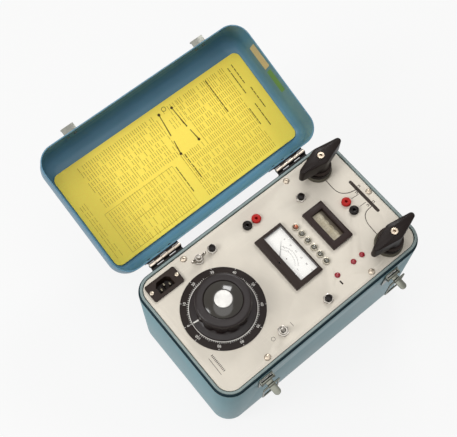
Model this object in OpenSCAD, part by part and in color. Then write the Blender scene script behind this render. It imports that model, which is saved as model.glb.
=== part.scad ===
/* [Case] */
// Outside width of the case, along X
case_w = 356; // [340:1:400]
// Outside depth of the case, from the latch side to the hinge side
case_d = 204; // [196:1:240]
// Height of the lower shell, from the floor to the ledge under the lid
base_h = 179; // [172:1:200]
// Depth of the lid shell
lid_h = 60.7; // [60:0.1:75]
// Thickness of the drawn aluminium walls
wall = 1.6; // [1.2:0.1:2]
// Radius of the upright corners
corner_r = 28; // [27:1:34]
// Radius between the walls and the floor of the lower shell
base_fillet_r = 26; // [20:1:27]
// Radius between the walls and the top of the lid
lid_fillet_r = 24; // [18:1:24]
// How far the lid stands open from its closed place, in degrees
open_angle = 160.2; // [120:0.1:165]

/* [Rim] */
// Height of the raised tongue above the lid ledge
tongue_h = 7; // [6:0.5:9]
// Width of the raised tongue
tongue_w = 3.5; // [3:0.1:6]
// Step from the outside of the wall to the outside of the tongue
tongue_step = 2.7; // [2.1:0.1:3]
// Height of the rubber seal on the ledge
gasket_h = 1; // [0.6:0.1:1]
// Gap between the seal and the edge of the closed lid
lid_gap = 0.3; // [0.3:0.1:1]
// Width of the shelf under the panel's edge
shelf_w = 6.5; // [5:0.5:8]
// Thickness of the shelf under the panel's edge
shelf_t = 3; // [2:0.5:4]
// Height of the skirt of the rim frame inside the shell
rim_skirt_h = 17; // [10:1:25]
// Thickness of that skirt
rim_skirt_t = 2; // [1.5:0.1:3]

/* [Panel] */
// Thickness of the panel
panel_t = 3; // [2:0.5:4]
// How far the panel's face lies below the top of the tongue
panel_recess = 2; // [1:0.5:3]
// Gap around the panel
panel_gap = 1.2; // [0.2:0.1:1.5]
// Distance of the side panel screws from the dial's end of the case
screw_x = 80.5; // [78:0.5:88]
// Distance of the panel screws from the outside of the case
screw_edge = 14.5; // [13:0.5:16]
// Radius of the panel screws' shanks
screw_r = 2; // [1.5:0.1:2.5]
// Radius of the cup washers under the panel screws
cup_r = 4.6; // [4:0.1:6]

/* [Hinges and latches] */
// Distance of each hinge and latch from the middle, along X
hinge_x = 113; // [100:1:125]
// Length of each hinge
hinge_l = 52; // [40:1:70]
// Distance of the hinge pin from the back wall
hinge_out = 6.5; // [6.5:0.1:8]
// Height of the hinge pin above the lid ledge
hinge_up = 2.7; // [2.5:0.1:3]
// Outside radius of the hinge knuckles
knuckle_r = 3.5; // [3:0.1:4]
// Radius of the hinge pin
hinge_pin_r = 1.6; // [1.2:0.1:2]
// Thickness of the hinge leaves
leaf_t = 1.6; // [1.2:0.1:2]
// Height of each hinge leaf
leaf_h = 27; // [20:1:35]
// Width of each latch plate
latch_w = 22; // [20:1:24]
// Height of each latch plate
latch_h = 38; // [34:1:45]
// Distance of the latch plate's top from the lid ledge
latch_drop = 8; // [7:1:12]
// Length of each latch lever, from its pivot
lever_l = 24; // [20:1:28]
// Width of each latch lever
lever_w = 10; // [8:0.5:11]
// Distance of the bail pivot from the lever pivot
bail_arm = 8; // [7:0.5:10]
// Radius of the bail wire
bail_wire_r = 1.2; // [1:0.1:1.4]
// Radius of the rivets' heads
rivet_r = 2.6; // [2:0.1:3]

/* [Dial and variable transformer] */
// Distance of the dial's middle from the end of the case
dial_x = 78.2; // [76:0.1:83]
// Radius of the black dial plate
dial_r = 57.7; // [52:0.1:60]
// Thickness of the dial plate
dial_t = 1.4; // [1:0.1:2]
// Radius of the dial knob's skirt
knob_skirt_r = 44.5; // [40:0.5:50]
// Radius of the dial knob's grip
knob_r = 37.5; // [30:0.5:39]
// Height of the dial knob above its skirt
knob_h = 34; // [25:1:34]
// Radius of the metal cap on the dial knob
cap_r = 12; // [9:0.5:14]
// Number of finger flutes around the dial knob
flutes = 12; // [8:1:16]
// Radius of the dial shaft
shaft_r = 4.76; // [3:0.01:6]
// Outside radius of the variable transformer's winding
variac_r = 46; // [40:1:46]
// Height of the winding
variac_h = 50; // [35:1:50]

/* [Meters] */
// Place of the pointer meter's middle, along X
meter_x = 14.3; // [12:0.1:15]
// Width of the pointer meter, along X
meter_w = 46; // [44:0.1:48]
// Length of the pointer meter, along Y
meter_l = 87.8; // [84:0.1:92]
// Height of the pointer meter's frame above the panel
meter_h = 5; // [4:0.5:8]
// Place of the digital display's middle, along X
lcd_x = 85.5; // [84:0.1:86]
// Width of the display frame, along X
lcd_w = 34.6; // [32:0.1:36]
// Length of the display frame, along Y
lcd_l = 65.8; // [60:0.1:72]
// Height of the display frame above the panel
lcd_h = 6; // [4:0.5:8]

/* [Current terminals] */
// Distance of the current terminals from the end of the case
term_x = 45.5; // [44:0.5:50]
// Distance of the current terminals from the sides of the case
term_y = 29.5; // [29:0.5:34]
// Radius of the insulating flange
flange_r = 20; // [19:0.5:22]
// Height of the insulating flange
flange_h = 6; // [4:0.5:8]
// Radius of the contact collar
collar_r = 18; // [15:0.5:20]
// Height of the contact collar
collar_h = 6; // [4:0.5:8]
// Radius of the terminal stud
stud_r = 5; // [4:0.1:6]
// Room for a cable lug under the clamp plate
lug_gap = 4.5; // [3.5:0.5:5]
// Thickness of the clamp plate
clamp_t = 3; // [2:0.5:4]
// Height of the wing knob
wing_knob_h = 26; // [22:0.5:26.5]
// Distance of each wing's tip from the stud
wing_l = 38.5; // [30:0.5:39]
// How far the wing knob is turned from the X axis, in degrees
wing_turn = 4; // [0:1:10]

/* [Small controls] */
// Distance between the voltage jacks of a pair
jack_pitch = 16; // [15:0.5:19]
// Radius of the voltage jacks' heads
jack_r = 6.8; // [5:0.1:7]
// Radius of the hole that a test plug goes into
plug_r = 2; // [1.5:0.1:2.5]
// Number of range lamps
lamps = 6; // [3:1:6]
// Distance between the range lamps
lamp_pitch = 12.7; // [12:0.1:14]
// Radius of the range lamps' bezels
lamp_r = 5.2; // [4:0.1:5.6]
// Radius of the red indicator lamps
indicator_r = 4; // [3:0.1:5]
// Radius of the push buttons
button_r = 4.6; // [3.5:0.1:5]
// Height of the push buttons above their collars
button_h = 5; // [4:0.5:7]
// Width of the mains inlet's flange, along X
inlet_w = 49.4; // [48:0.1:52]
// Depth of the mains inlet's flange, along Y
inlet_d = 26.2; // [25:0.1:28]

/* [Hidden] */
// Clearances: a running fit, a seat within one part, and a gap between parts that move
running = 0.05;
seat_gap = 0.2;
part_gap = 0.3;

// Heights of the main levels
ledge_z = base_h;
rim_z = ledge_z + tongue_h;
panel_top = rim_z - panel_recess;
panel_bottom = panel_top - panel_t;
lid_edge_z = ledge_z + gasket_h + lid_gap;
lid_top_z = lid_edge_z + lid_h;
flange_low_z = ledge_z - 1.5;

// Insets of the rim frame's faces from the outside of the case
tongue_in = tongue_step + tongue_w;
shelf_in = tongue_in + shelf_w;
skirt_out = wall + seat_gap;
skirt_in = skirt_out + rim_skirt_t;
panel_in = tongue_in + panel_gap;

// Half the length and half the depth of the panel, and what is placed from its edges
panel_x = case_w / 2 - panel_in;
panel_y = case_d / 2 - panel_in;
dial_at = case_w / 2 - dial_x;
terminal_x = case_w / 2 - term_x;
terminal_y = case_d / 2 - term_y;

// Panel screws
screw_y = case_d / 2 - screw_edge;
screw_at = case_w / 2 - screw_x;
screw_xy = [[-screw_at, screw_y], [screw_at - 10.5, screw_y], [-screw_at, -screw_y],
            [screw_at - 10.5, -screw_y], [panel_x - cup_r - part_gap, 2]];
lug_w = 14;
lug_reach = 6;
cup_h = 1.5;
screw_head_r = 3.3;
screw_head_h = 1.6;
screw_len = cup_h + panel_t + shelf_t + 1;

// Hinge
hinge_y = case_d / 2 + hinge_out;
hinge_z = ledge_z + hinge_up;
knuckles = 5;
knuckle_l = hinge_l / knuckles;
rivet_z = ledge_z - 24;
lid_rivet_z = hinge_z + knuckle_r + 17;
rivet_head = 1.2;
rivet_shank_r = 1.5;
rivet_spread = [-18, 0, 18];
latch_rivet_x = 7;
latch_rivet_high = 19;
latch_rivet_low = 5;

// Latch
latch_t = 1.5;
latch_top = ledge_z - latch_drop;
ear_x = latch_w / 2;
ear_t = 1.5;
pivot_y = -case_d / 2 - 5;
pivot_z = latch_top - 6;
ear_r = 3.2;
latch_pin_r = 1.25;
barrel_r = 2.4;
lever_t = 2;
bail_x = latch_w / 2 + bail_wire_r + 0.6;
keeper_w = 20;
keeper_h = 17;
keeper_z = lid_edge_z + 8;
keeper_t = 1.6;
hook_z = keeper_z + 5;
hook_out = 11;
hook_lip = 4.2;
closed_turn = 92;
wire_y = -case_d / 2 - 6;
wire_z = hook_z + keeper_t + bail_wire_r + 0.3;
// the bail is as long as the way from its pivot on the closed lever to its seat in the hook
bail_dy = wire_y - (pivot_y - bail_arm * cos(closed_turn));
bail_dz = wire_z - (pivot_z - bail_arm * sin(closed_turn));
bail_l = sqrt(bail_dy * bail_dy + bail_dz * bail_dz);

// Card in the lid, on pads under its top
card_t = 1;
card_w = case_w - 21;
card_d = case_d - 48;
card_r = 10;
card_y = 6.8;
card_z = lid_top_z - wall - 5.7;
card_pad_r = 6;
card_pad_x = card_w / 2 - 47.5;
card_pad_y = card_d / 2 - 28;

// Dial knob
dial_hole_r = shaft_r + 1.5;
skirt_t = 2.2;
skirt_z = panel_top + dial_t + 0.4;
grip_z = skirt_z + skirt_t;
knob_top = grip_z + knob_h;
hub_top = knob_top + 3.4;
cap_t = 1.5;
cap_sink = 1;
flute_r = 5;
dish_r = 26;
knob_bore_deep = 6;

// Variable transformer
variac_top = panel_bottom - 14;
variac_bottom = variac_top - variac_h;
variac_plate_t = 3;
variac_plate_r = variac_r + 11;
variac_bore_r = 18;
coil_wall = 4;
post_r = 3.5;
post_at = variac_r + 5.5;
bush_wall = 4;
bush_h = 10;
shaft_tail = 8;
shaft_collar_h = 6;
arm_z = variac_top + 4;
arm_t = 4;

// Pointer meter
meter_window = [30.1, 76.4];
window_dx = 5.4;
window_dy = 1.3;
meter_body_in = 2.2;
meter_deep = 34;
scale_drop = 4;
pocket_dx = 5;
scale_t = 0.8;
glass_t = 1;
needle_x = meter_x - 16;
needle_l = 33;
needle_w = 0.8;
needle_t = 0.5;
needle_turn = 45;
needle_tail = 3;
arbor_r = 1.2;

// Display
lcd_y = 0.1;
lcd_window = [19.4, 46.6];
lcd_body_in = 3;
lcd_deep = 18;
lcd_glass_t = 1.6;

// Current terminals
collar_z = panel_top + flange_h;
lug_z = collar_z + collar_h;
clamp_z = lug_z + lug_gap;
wing_knob_z = clamp_z + clamp_t;
wing_knob_top = wing_knob_z + wing_knob_h;
stud_top = wing_knob_top + 1;
stud_hole_r = 1.9;
bush_r = 11.7;
washer_r = 15;
washer_t = 3;
busbar_t = 5;
busbar_w = 20;
busbar_z = panel_bottom - washer_t - busbar_t;
bar_y = 38;
bar_end = 12;
term_nut_r = 9;
term_nut_h = 6;
stud_bottom = busbar_z - term_nut_h - 3;
wing_tip_r = 4.6;
wing_hub_r = 13;
wing_low = wing_knob_z + 1.5;
wing_high = wing_knob_top;
wing_x0 = wing_l - wing_tip_r;
wing_arc_r = (wing_l * wing_l * 0.88 + wing_hub_r * wing_hub_r) / (2 * wing_hub_r);

// Small controls: places on the panel
jack_side = panel_y - 24.8;
jack_end = panel_x - 40.9;
black_jack_xy = [[0.6, jack_side], [jack_end, -6.4]];
red_jack_xy = [[0.6 + jack_pitch, jack_side], [jack_end, -6.4 + jack_pitch]];
jack_h = 4.5;
jack_body_r = jack_r - 1.4;
jack_deep = 20;
plug_deep = 19;
lamp_x = 50.4;
lamp_y0 = 26;
lamp_h = 2.4;
lens_r = lamp_r - 1.5;
lamp_deep = 16;
indicator_y = -panel_y + 33.4;
indicator_xy = [[lcd_x + 8.3, indicator_y], [lcd_x - 7.5, indicator_y - 0.2],
                [lamp_x - 2.3, indicator_y - 0.7]];
indicator_deep = 14;
button_xy = [[-dial_at + 41.2, panel_y - 20.4], [lcd_x, panel_y - 39.6], [meter_x + 1.7, -panel_y + 15.6]];
button_nut_r = 7.4;
button_nut_h = 2;
button_bush_r = button_r + 1.4;
button_bush_h = 3;
button_deep = 16;
button_travel = 2.5;
toggle_xy = [-dial_at + 40.8, -panel_y + 20.6];
toggle_nut_r = 8;
toggle_nut_h = 2;
toggle_bush_r = 5.6;
toggle_bush_h = 6;
toggle_ball_r = 3.2;
toggle_z = panel_top + toggle_bush_h - 1;
toggle_l = 15;
toggle_pin_r = 0.9;
toggle_pin_l = 4.8;
toggle_tail = 6;
toggle_lean = 12;
ground_xy = [-dial_at + 17.4, panel_y - 21.8];
ground_r = 3;
ground_base_r = 6.5;
ground_base_h = 3;
ground_wing = 12.5;
inlet_xy = [-panel_x + 31, (dial_r + panel_y) / 2 - 0.95];
inlet_screw_x = 21;
inlet_screw_r = 1.6;
inlet_flange_t = 3;
inlet_flange_r = 3;
inlet_body = [30, 22];
inlet_socket = [24.4, 16.6];
inlet_deep = 24;
socket_deep = 19;
contact_l = 13;

// Chassis
tray_z = 12;
tray_t = 3;
tray_size = [292, 140];
foot_xy = [[-120, 55], [0, 55], [120, 55], [-120, -55], [0, -55], [120, -55]];
chassis_z = tray_z + tray_t;
core_x = 88;
core_size = [120, 70, 96];
leg_w = 20;
window_w = 20;
window_h = 56;
coil_reach = 16;
sink_x = -80;
sink_size = [120, 110, 46];
sink_base_t = 8;
sink_fins = 12;
fin_t = 2.5;
board_z = panel_bottom - 45;
board_t = 1.6;
board_size = [140, 110];
board_gap = 8.5;
board_low_y = -58;
board_xy = [terminal_x - busbar_w / 2 - board_gap - board_size[0], board_low_y];
// places on the board from its corner
spacer_xy = [[6, 6], [6, 104], [88, 6], [88, 104], [134, 104], [134, 12]];

$fn = 64;

// A flat outline of the case, moved inward by inset
module case_outline(inset) {
    w = case_w / 2 - corner_r;
    d = case_d / 2 - corner_r;
    r = corner_r - inset;
    square([2 * w + 2 * r, 2 * d], center = true);
    square([2 * w, 2 * d + 2 * r], center = true);
    for (x = [-w, w], y = [-d, d]) translate([x, y]) circle(r);
}

// A band that follows the case between two insets
module case_band(z0, z1, outer, inner) {
    translate([0, 0, z0]) linear_extrude(z1 - z0) difference() {
        case_outline(outer);
        case_outline(inner);
    }
}

// Half of the side view of a drawn shell: its edge at y = 0 lies at x = reach
module shell_side(reach, h, r) {
    union() {
        translate([0, r]) square([reach, h - r]);
        square([reach - r, h]);
        intersection() {
            translate([reach - r, r]) circle(r);
            square([reach, h]);
        }
    }
}

// A box with round upright corners and a round lower edge, standing on z = 0
module drawn_box(inset, h, r) {
    cx = case_w / 2 - corner_r;
    cy = case_d / 2 - corner_r;
    rc = corner_r - inset;
    for (s = [0, 1]) mirror([s, 0, 0]) translate([0, cy, 0]) rotate([90, 0, 0])
        linear_extrude(2 * cy) shell_side(cx + rc, h, r);
    for (s = [0, 1]) mirror([0, s, 0]) translate([-cx, cy, 0]) rotate([90, 0, 90])
        linear_extrude(2 * cx) shell_side(rc, h, r);
    for (sx = [0, 1], sy = [0, 1]) mirror([sx, 0, 0]) mirror([0, sy, 0])
        translate([cx, cy, 0]) rotate_extrude(angle = 90) shell_side(rc, h, r);
}

// A drawn shell with an open top
module drawn_shell(h, r) {
    difference() {
        drawn_box(0, h, r);
        translate([0, 0, wall]) drawn_box(wall, h, r - wall);
    }
}

// Turns pieces of the closed lid to its open place
module lid_open() {
    translate([0, hinge_y, hinge_z]) rotate([-open_angle, 0, 0]) translate([0, -hinge_y, -hinge_z])
        children();
}

module rod_x(x0, x1, r) {
    translate([x0, 0, 0]) rotate([0, 90, 0]) cylinder(r = r, h = x1 - x0);
}

module rod_y(reach, r) {
    translate([0, reach, 0]) rotate([90, 0, 0]) cylinder(r = r, h = 2 * reach);
}

module hexagon(r, h) {
    cylinder(r = r, h = h, $fn = 6);
}

// A rivet along +Y: its flat side sits on y = 0 and its shank reaches back through the metal
module rivet(depth) {
    rotate([-90, 0, 0]) rotate_extrude() polygon([[0, rivet_head], [rivet_r * 0.6, rivet_head],
        [rivet_r, 0.3], [rivet_r, 0], [rivet_shank_r, 0], [rivet_shank_r, -depth], [0, -depth]]);
    translate([0, -depth, 0]) rotate([90, 0, 0]) cylinder(r = rivet_r * 0.9, h = 1);
}

module rivet_hole(depth) {
    translate([0, 1, 0]) rotate([90, 0, 0]) cylinder(r = rivet_shank_r + seat_gap, h = depth + 2);
}

module at_hinges() {
    for (x = [-hinge_x, hinge_x]) translate([x, 0, 0]) children();
}

module case_base() {
    color("#9fb6b8") difference() {
        drawn_shell(flange_low_z, base_fillet_r);
        at_hinges() for (x = rivet_spread) translate([x, case_d / 2, rivet_z]) rivet_hole(wall);
        at_hinges() latch_rivet_places() rivet_hole(wall);
    }
}

module rim_frame() {
    color("#a9b9b6") difference() {
        union() {
            case_band(panel_bottom, rim_z, tongue_step, tongue_in);
            case_band(panel_bottom - shelf_t, panel_bottom, tongue_step, shelf_in);
            case_band(flange_low_z, ledge_z, 0, tongue_in);
            case_band(ledge_z - rim_skirt_h, ledge_z, skirt_out, skirt_in);
            for (p = [0:3]) lug(screw_xy[p]);
        }
        for (p = screw_xy) translate([p[0], p[1], panel_bottom - shelf_t - 1])
            cylinder(r = screw_r + seat_gap, h = shelf_t + 2);
        translate([inlet_xy[0], inlet_xy[1], panel_bottom - rim_skirt_h])
            slab(inlet_body[0] + 2 * part_gap, inlet_body[1] + 2 * part_gap, rim_skirt_h);
    }
}

// A tab on the shelf under one panel screw
module lug(p) {
    side = p[1] > 0 ? 0 : 1;
    mirror([0, side, 0]) translate([p[0] - lug_w / 2, screw_y - lug_reach, panel_bottom - shelf_t])
        cube([lug_w, case_d / 2 - tongue_in - screw_y + lug_reach, shelf_t]);
}

module rim_seal() {
    color("#1d2226") case_band(ledge_z, ledge_z + gasket_h, 0.2, tongue_step - seat_gap);
}

module panel_hole(p, r) {
    translate([p[0], p[1], panel_bottom - 1]) cylinder(r = r, h = panel_t + 2);
}

module front_panel() {
    color("#d8d2c8") difference() {
        translate([0, 0, panel_bottom]) linear_extrude(panel_t) case_outline(panel_in);
        for (p = screw_xy) panel_hole(p, screw_r + seat_gap);
        panel_hole([-dial_at, 0], dial_hole_r);
        translate([meter_x, 0, panel_bottom - 1]) slab(meter_w - 2 * meter_body_in + 2 * seat_gap,
            meter_l - 2 * meter_body_in + 2 * seat_gap, panel_t + 2);
        translate([lcd_x, lcd_y, panel_bottom - 1]) slab(lcd_w - 2 * lcd_body_in + 2 * seat_gap,
            lcd_l - 2 * lcd_body_in + 2 * seat_gap, panel_t + 2);
        translate([inlet_xy[0], inlet_xy[1], panel_bottom - 1])
            slab(inlet_body[0] + 2 * seat_gap, inlet_body[1] + 2 * seat_gap, panel_t + 2);
        for (s = [-1, 1]) panel_hole([inlet_xy[0] + s * inlet_screw_x, inlet_xy[1]],
            inlet_screw_r + seat_gap);
        for (i = [0:lamps - 1]) panel_hole([lamp_x, lamp_y0 - i * lamp_pitch], lens_r + 0.4 + seat_gap);
        for (p = indicator_xy) panel_hole(p, indicator_r - 0.8 + seat_gap);
        for (p = black_jack_xy) panel_hole(p, jack_body_r + seat_gap);
        for (p = red_jack_xy) panel_hole(p, jack_body_r + seat_gap);
        for (p = button_xy) panel_hole(p, button_bush_r + seat_gap);
        panel_hole(toggle_xy, toggle_bush_r + seat_gap);
        panel_hole(ground_xy, ground_r + seat_gap);
        for (s = [-1, 1]) panel_hole([terminal_x, s * terminal_y], bush_r + seat_gap);
    }
}

module slab(w, d, h) {
    translate([-w / 2, -d / 2, 0]) cube([w, d, h]);
}

module screw(r, head_r, head_h, len) {
    difference() {
        union() {
            cylinder(r = head_r, h = head_h);
            translate([0, 0, -len]) cylinder(r = r, h = len);
        }
        translate([-0.5, -head_r, head_h * 0.5]) cube([1, 2 * head_r, head_h]);
    }
}

module panel_screws() {
    color("#c9ccd0") {
        for (p = screw_xy) translate([p[0], p[1], panel_top + cup_h])
            screw(screw_r, screw_head_r, screw_head_h, screw_len);
        for (s = [-1, 1]) translate([inlet_xy[0] + s * inlet_screw_x, inlet_xy[1],
            panel_top + inlet_flange_t]) screw(inlet_screw_r, 2.8, 1.4, inlet_flange_t + panel_t + 4);
    }
}

module panel_cup_washers() {
    color("#b9bdc2") for (p = screw_xy) translate([p[0], p[1], panel_top]) rotate_extrude()
        polygon([[screw_r + seat_gap, 0], [cup_r, 0], [cup_r, 0.4], [cup_r - 1, cup_h],
            [screw_r + seat_gap, cup_h]]);
}

// The knuckles of one leaf along the hinge: first is 0 for the base leaf and 1 for the lid leaf
module knuckle_row(first, web_z) {
    translate([-hinge_l / 2, case_d / 2, web_z]) cube([hinge_l, hinge_out - knuckle_r - 0.3, leaf_t]);
    for (i = [first:2:knuckles - 1]) {
        x0 = -hinge_l / 2 + i * knuckle_l + 0.2;
        x1 = x0 + knuckle_l - 0.4;
        translate([0, hinge_y, hinge_z]) rod_x(x0, x1, knuckle_r);
        translate([x0, case_d / 2, web_z]) cube([x1 - x0, hinge_out, leaf_t]);
    }
}

module hinge_base_leaves() {
    color("#2b2d30") at_hinges() difference() {
        union() {
            knuckle_row(0, hinge_z - knuckle_r);
            translate([-hinge_l / 2, case_d / 2, hinge_z - knuckle_r - leaf_h + leaf_t])
                cube([hinge_l, leaf_t, leaf_h]);
        }
        translate([0, hinge_y, hinge_z]) rod_x(-hinge_l, hinge_l, hinge_pin_r + running);
        for (x = rivet_spread) translate([x, case_d / 2 + leaf_t, rivet_z]) rivet_hole(leaf_t);
    }
}

module pivot_pins() {
    color("#c3c7cb") {
        at_hinges() translate([0, hinge_y, hinge_z])
            rod_x(-hinge_l / 2 - 0.8, hinge_l / 2 + 0.8, hinge_pin_r);
        at_hinges() translate([0, pivot_y, pivot_z]) {
            rod_x(-ear_x, ear_x, latch_pin_r);
            for (s = [0, 1]) mirror([s, 0, 0]) rod_x(ear_x, ear_x + 0.5, latch_pin_r + 0.3);
        }
    }
}

// Places of the rivets that hold one latch plate, with +Y pointing into the wall's outside
module latch_rivet_places() {
    for (p = [[-latch_rivet_x, latch_rivet_high], [latch_rivet_x, latch_rivet_high],
            [0, latch_h - latch_rivet_low]])
        translate([p[0], -case_d / 2, latch_top - p[1]])
        mirror([0, 1, 0]) children();
}

module base_rivets() {
    color("#b4b9bd") {
        at_hinges() for (x = rivet_spread) translate([x, case_d / 2 + leaf_t, rivet_z])
            rivet(leaf_t + wall);
        at_hinges() latch_rivet_places() translate([0, latch_t, 0]) rivet(latch_t + wall);
    }
}

module latch_plates() {
    color("#c3c7cb") at_hinges() difference() {
        union() {
            translate([-latch_w / 2, -case_d / 2 - latch_t, latch_top - latch_h])
                cube([latch_w, latch_t, latch_h]);
            for (x = [-ear_x, ear_x - ear_t]) {
                translate([x, pivot_y, pivot_z - ear_r])
                    cube([ear_t, -case_d / 2 - latch_t - pivot_y, 2 * ear_r]);
                translate([0, pivot_y, pivot_z]) rod_x(x, x + ear_t, ear_r);
            }
        }
        translate([0, pivot_y, pivot_z]) rod_x(-latch_w, latch_w, latch_pin_r + running);
        latch_rivet_places() translate([0, latch_t, 0]) rivet_hole(latch_t);
    }
}

module mains_inlet() {
    color("#1f2124") translate([inlet_xy[0], inlet_xy[1], panel_top]) difference() {
        union() {
            slab(inlet_w - 2 * inlet_flange_r, inlet_d, inlet_flange_t);
            slab(inlet_w, inlet_d - 2 * inlet_flange_r, inlet_flange_t);
            for (x = [-1, 1], y = [-1, 1]) translate([x * (inlet_w / 2 - inlet_flange_r),
                y * (inlet_d / 2 - inlet_flange_r), 0]) cylinder(r = inlet_flange_r, h = inlet_flange_t);
            translate([0, 0, -inlet_deep]) slab(inlet_body[0], inlet_body[1], inlet_deep);
        }
        translate([0, 0, inlet_flange_t - socket_deep]) linear_extrude(socket_deep + 1) polygon([
            [-inlet_socket[0] / 2, -inlet_socket[1] / 2], [inlet_socket[0] / 2, -inlet_socket[1] / 2],
            [inlet_socket[0] / 2, inlet_socket[1] / 2 - 5], [inlet_socket[0] / 2 - 5, inlet_socket[1] / 2],
            [-inlet_socket[0] / 2 + 5, inlet_socket[1] / 2],
            [-inlet_socket[0] / 2, inlet_socket[1] / 2 - 5]]);
        for (s = [-1, 1]) translate([s * inlet_screw_x, 0, -1])
            cylinder(r = inlet_screw_r + seat_gap, h = inlet_flange_t + 2);
    }
}

module inlet_contacts() {
    color("#c8b273") for (p = [[-7, -2], [0, 2], [7, -2]])
        translate([inlet_xy[0] + p[0], inlet_xy[1] + p[1], panel_top + inlet_flange_t - socket_deep])
        slab(2, 4, contact_l);
}

module dial_plate() {
    color("#1a1b1e") translate([-dial_at, 0, panel_top]) difference() {
        cylinder(r = dial_r, h = dial_t);
        translate([0, 0, -1]) cylinder(r = dial_hole_r, h = dial_t + 2);
    }
}

module at_posts() {
    for (a = [45:90:315]) rotate(a) translate([post_at, 0, 0]) children();
}

module variac_frame() {
    color("#8d9296") translate([-dial_at, 0, variac_bottom]) difference() {
        union() {
            translate([0, 0, -variac_plate_t]) cylinder(r = variac_plate_r, h = variac_plate_t);
            translate([0, 0, -bush_h]) cylinder(r = shaft_r + bush_wall, h = bush_h);
            at_posts() cylinder(r = post_r, h = panel_bottom - variac_bottom);
        }
        translate([0, 0, -bush_h - 1]) cylinder(r = shaft_r + running, h = bush_h + 2);
    }
}

module variac_core() {
    color("#54585d") translate([-dial_at, 0, variac_bottom]) difference() {
        cylinder(r = variac_r - coil_wall - seat_gap, h = variac_h - coil_wall - seat_gap);
        translate([0, 0, -1]) cylinder(r = variac_bore_r + coil_wall + seat_gap, h = variac_h);
    }
}

module variac_winding() {
    color("#a5622f") translate([-dial_at, 0, variac_bottom]) rotate_extrude() difference() {
        translate([variac_bore_r, 0]) square([variac_r - variac_bore_r, variac_h]);
        translate([variac_bore_r + coil_wall, -1])
            square([variac_r - variac_bore_r - 2 * coil_wall, variac_h - coil_wall + 1]);
    }
}

module meter_case() {
    color("#222326") translate([meter_x, 0, panel_top]) difference() {
        union() {
            slab(meter_w, meter_l, meter_h);
            translate([0, 0, -meter_deep]) slab(meter_w - 2 * meter_body_in,
                meter_l - 2 * meter_body_in, meter_deep + 1);
        }
        translate([window_dx - pocket_dx, window_dy, meter_h - glass_t - scale_drop - scale_t])
            slab(meter_window[0] + 2 * pocket_dx, meter_window[1], scale_drop + scale_t - 0.2);
        translate([window_dx, window_dy, 0]) slab(meter_window[0], meter_window[1], meter_h + 1);
        translate([window_dx, window_dy, meter_h - glass_t])
            slab(meter_window[0] + 1, meter_window[1] + 1, meter_h);
        translate([needle_x - meter_x, 0, meter_h - glass_t - scale_drop - scale_t - 6])
            cylinder(r = arbor_r + part_gap, h = 12);
    }
}

module meter_scale() {
    color("#f2f1ec") difference() {
        translate([meter_x + window_dx - pocket_dx, window_dy, scale_z() - scale_t])
            slab(meter_window[0] + 2 * pocket_dx - 0.2, meter_window[1] - 0.2, scale_t);
        translate([needle_x, 0, scale_z() - scale_t - 1]) cylinder(r = arbor_r + part_gap, h = 4);
    }
}

function scale_z() = panel_top + meter_h - glass_t - scale_drop;

module meter_glass() {
    color("#dfe9ee") translate([meter_x + window_dx, window_dy, panel_top + meter_h - glass_t])
        slab(meter_window[0] + 0.8, meter_window[1] + 0.8, glass_t - 0.2);
}

module display_frame() {
    color("#222326") translate([lcd_x, lcd_y, panel_top]) difference() {
        union() {
            slab(lcd_w, lcd_l, lcd_h);
            translate([0, 0, -lcd_deep]) slab(lcd_w - 2 * lcd_body_in, lcd_l - 2 * lcd_body_in,
                lcd_deep + 1);
        }
        translate([0.7, 0, -3]) slab(lcd_window[0], lcd_window[1], lcd_h + 4);
    }
}

module display_panel() {
    color("#a8a79a") translate([lcd_x + 0.7, lcd_y, panel_top - 3])
        slab(lcd_window[0] - 0.2, lcd_window[1] - 0.2, lcd_glass_t);
}

module at_lamps() {
    for (i = [0:lamps - 1]) translate([lamp_x, lamp_y0 - i * lamp_pitch, panel_top]) children();
}

module range_lamp_bezels() {
    color("#c9ccd0") at_lamps() difference() {
        union() {
            cylinder(r = lamp_r, h = lamp_h);
            translate([0, 0, -lamp_deep]) cylinder(r = lens_r + 0.4, h = lamp_deep);
        }
        translate([0, 0, -1]) cylinder(r = lens_r, h = lamp_h + 2);
    }
}

module range_lamp_lenses() {
    color("#d8dadc") at_lamps() {
        translate([0, 0, -1]) cylinder(r = lens_r - 0.1, h = lamp_h + 0.6);
        translate([0, 0, lamp_h - 0.4]) intersection() {
            translate([0, 0, -1.6]) sphere(r = lens_r + 0.1);
            cylinder(r = lens_r - 0.1, h = lens_r);
        }
    }
}

module indicator_lamps() {
    color("#6e1a1c") for (p = indicator_xy) translate([p[0], p[1], panel_top]) {
        cylinder(r = indicator_r, h = 0.8);
        translate([0, 0, -indicator_deep]) cylinder(r = indicator_r - 0.8, h = indicator_deep);
        translate([0, 0, 0.8]) intersection() {
            translate([0, 0, -1.6]) sphere(r = indicator_r);
            cylinder(r = indicator_r, h = indicator_r);
        }
    }
}

module jack() {
    difference() {
        union() {
            rotate_extrude() polygon([[0, 0], [jack_r, 0], [jack_r, jack_h - 1], [jack_r - 1, jack_h],
                [0, jack_h]]);
            translate([0, 0, -jack_deep]) cylinder(r = jack_body_r, h = jack_deep);
        }
        translate([0, 0, jack_h - plug_deep]) cylinder(r = plug_r, h = plug_deep + 1);
    }
}

module black_jacks() {
    color("#1b1c1e") for (p = black_jack_xy) translate([p[0], p[1], panel_top]) jack();
}

module red_jacks() {
    color("#b8242a") for (p = red_jack_xy) translate([p[0], p[1], panel_top]) jack();
}

module button_collars() {
    color("#c9ccd0") for (p = button_xy) translate([p[0], p[1], panel_top]) difference() {
        union() {
            hexagon(button_nut_r, button_nut_h);
            translate([0, 0, -button_deep]) cylinder(r = button_bush_r, h = button_deep + button_bush_h);
        }
        translate([0, 0, -button_deep + 2])
            cylinder(r = button_r + part_gap, h = button_deep + button_bush_h);
    }
}

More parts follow.
